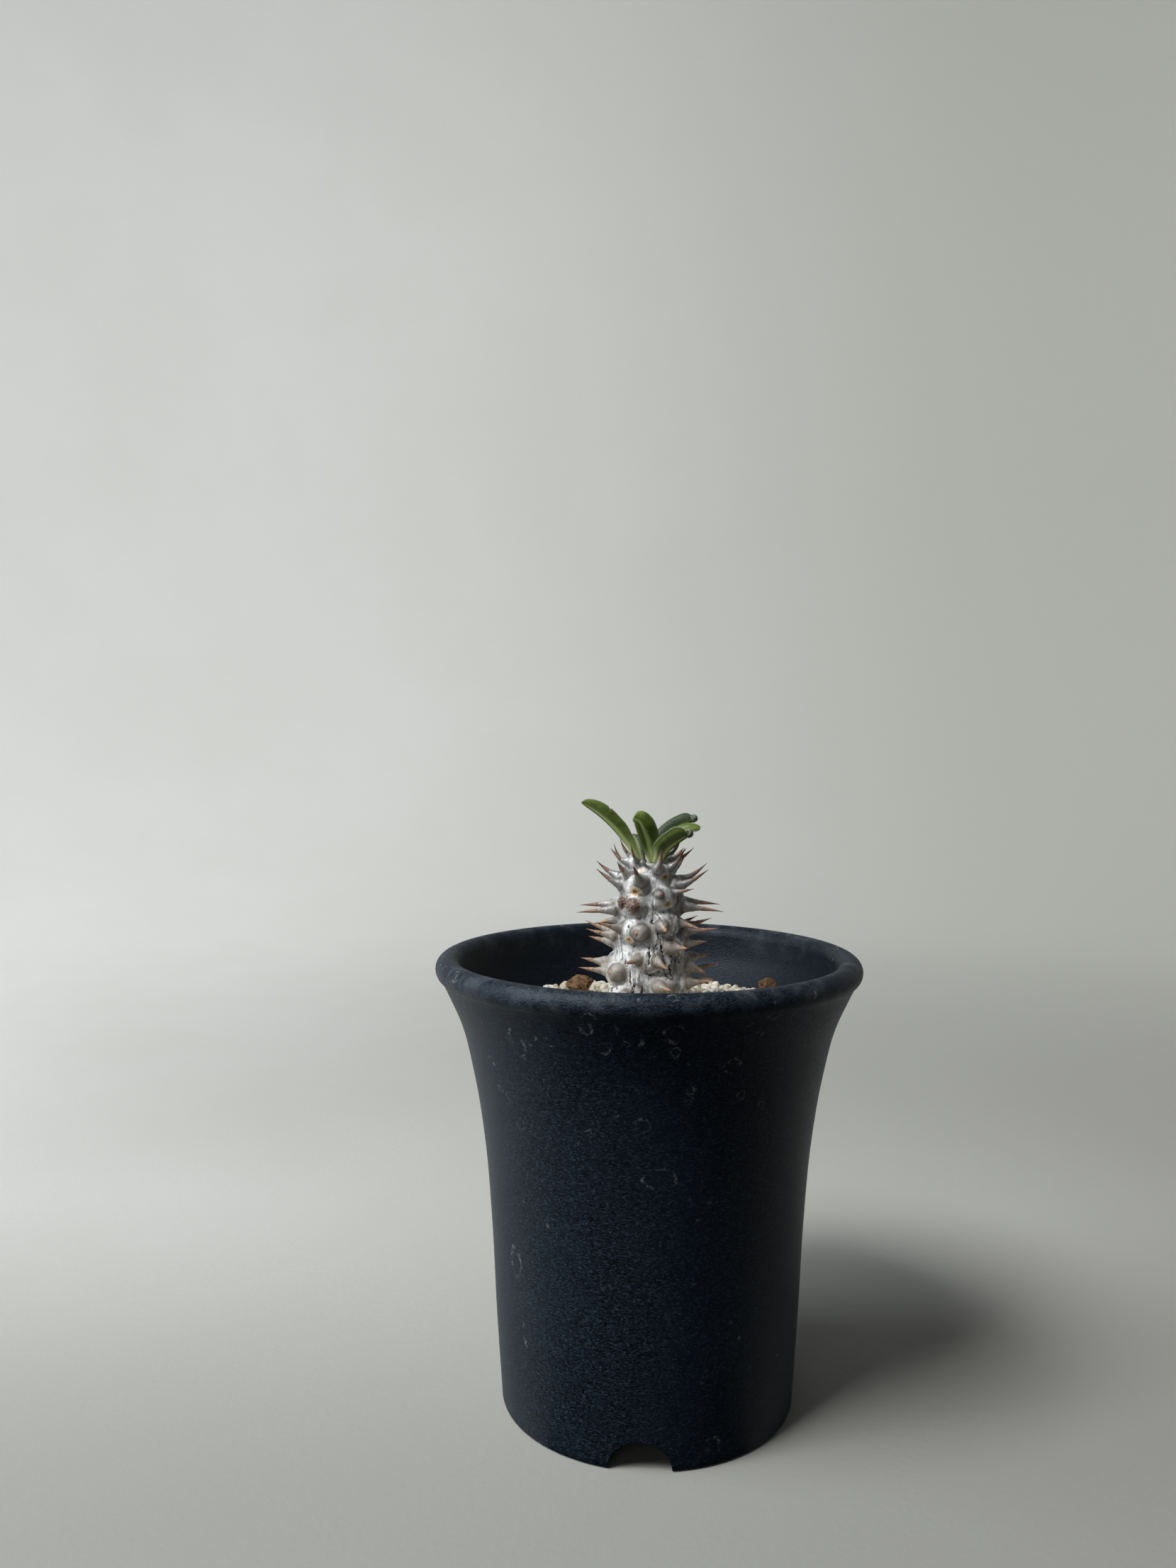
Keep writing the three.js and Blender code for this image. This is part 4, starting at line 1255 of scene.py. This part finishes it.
def margin_hairs(points, along, across, seed):
    """Short soft hairs that stand out from the blade's two margins."""
    picker = random.Random(seed)
    shape = bmesh.new()
    edge = np.flatnonzero((np.abs(across) > 0.9999) & (along > 0.08))
    for index in edge:
        apart = np.abs(along - along[index]) * 50 + np.abs(across - 0.8 * across[index])
        out = Vector(points[index] - points[np.argmin(apart)]).normalized()
        aim = out + Vector([picker.gauss(0, 0.45) for _ in range(3)])
        length = picker.uniform(0.16, 0.36)
        middle = Vector(points[index]) + aim.normalized() * length * 0.4
        bmesh.ops.create_cone(
            shape, cap_ends=True, segments=3, radius1=0.022, radius2=0.004, depth=length,
            matrix=standing(middle, aim),
        )
    return shape


def make_leaf(name, leaf, seed):
    shape = bmesh.new()
    bmesh.ops.create_grid(shape, x_segments=LEAF_LENGTHWAYS, y_segments=LEAF_ACROSS, size=1)
    flat = places(shape)
    set_values(shape, "along", (flat[:, 0] + 1) / 2)
    set_values(shape, "across", np.sin(flat[:, 1] * math.pi / 2))
    grown = bmesh.ops.extrude_face_region(shape, geom=shape.faces[:], use_keep_orig=True)["geom"]
    under = {item for item in grown if isinstance(item, bmesh.types.BMVert)}
    side = np.array([float(vert in under) for vert in shape.verts])
    along_layer, across_layer = shape.verts.layers.float["along"], shape.verts.layers.float["across"]
    along = np.array([vert[along_layer] for vert in shape.verts])
    across = np.array([vert[across_layer] for vert in shape.verts])
    points, phase, under_way = leaf_point(leaf, along, across, side)
    under_here = Vector(under_way[int(np.argmax(along - np.abs(across)))])
    wave = np.array([noise.noise(Vector((a * 5, seed, 0.0))) for a in along])
    points[:, 2] += 0.12 * wave * np.abs(across)**3
    move(shape, points)
    bmesh.ops.recalc_face_normals(shape, faces=shape.faces)
    parts = [shape]
    if "curl" in leaf:
        parts.append(rolled_tip(leaf, under_here))
    parts.append(margin_hairs(points, along, across, seed))
    whole = joined(parts)
    extra = len(whole.verts) - len(points)
    shade = np.full(len(points), float(leaf["shade"]))
    # The pale midrib widens at the base so that it covers the petiole, adding painted light there to the
    # real pale rib.
    rib_width = 0.85 - 0.45 * smoothstep(0.05, 0.3, along) - 0.26 * smoothstep(0.3, 1, along)
    rib = leaf["rib"] * (1 - smoothstep(0.45, 1, np.abs(across) / rib_width))
    facts = {"across": (across, 0.97), "vein": (phase, 0.5), "shade": (shade, 0.9), "rib": (rib, 0)}
    # Painted light on the leaf bases, which the lamps leave in shade.
    facts["young"] = (1 - smoothstep(0.04, 0.42, along), 0)
    for key, (values, beyond) in facts.items():
        set_values(whole, key, np.concatenate([values, np.full(extra, float(beyond))]))
    piece(name + "_blade", whole, "leaf_green", name)


def leaf_green():
    """Green with a paler midrib, side veins, a fine net and a pale margin, painted shade on the leaves
    that face away from the light, and painted light on the leaf bases.
    """
    shader, place, across, vein, shade, rib, young = new_finish(
        "leaf_green", "across", "vein", "shade", "rib", "young",
        Roughness=0.48, Specular_IOR_Level=0.4,
        Subsurface_Weight=0.25, Subsurface_Scale=0.001, Subsurface_Radius=(0.8, 1, 0.3),
    )
    mottle = specks(place, 2600, 0.4, 0.7, 1, 3, 0.7)
    wave = maths("COSINE", times(maths("ADD", vein, times(noise_of(place, 1300, 2), 0.5)), math.tau))
    veined = times(between(wave, 0.84, 1, 0, 0.34), between(shade, 0.3, 1, 1, 0.3))
    net = cells_of(place, 2300, "DISTANCE_TO_EDGE")["Distance"]
    fill(shader, {
        "Base Color": coats(
            blended(between(noise_of(place, 500, 3, 0.6), 0.3, 0.7), (72, 91, 29), (108, 126, 53)),
            # Painted shade on the leaves that face away from the light.
            (shade, blended(mottle, (42, 56, 42), (72, 86, 68))),
            (veined, (116, 132, 76)),
            (between(net, 0, 0.07, 0.25, 0), (118, 134, 76)),
            (rib, (194, 210, 138)),
            # Painted light: the leaf bases are brightened, less on the shaded leaves.
            (times(young, between(shade, 0.3, 0.9, 0.95, 0.1)), (222, 234, 166)),
            (between(maths("ABSOLUTE", across), 0.95, 0.99, 0, 0.65), (158, 166, 146)),
        ),
        "Normal": bump(noise_of(place, 3500, 3, 0.6), 0.3, 0.1),
    })


for make in (pot_plastic, white_gravel, brown_pumice, growing_mix, silver_bark, leaf_green):
    make()
make_camera()
make_stage()
make_lights()
make_pot()
make_gravel()
for node, seed in PUMICE_SEEDS.items():
    make_pumice(node, seed)
for slot in bpy.data.objects["growing_medium"].material_slots:
    slot.material = finishes["growing_mix"]
make_stem()
for seed, (name, leaf) in enumerate(LEAVES.items()):
    make_leaf(name, leaf, seed)
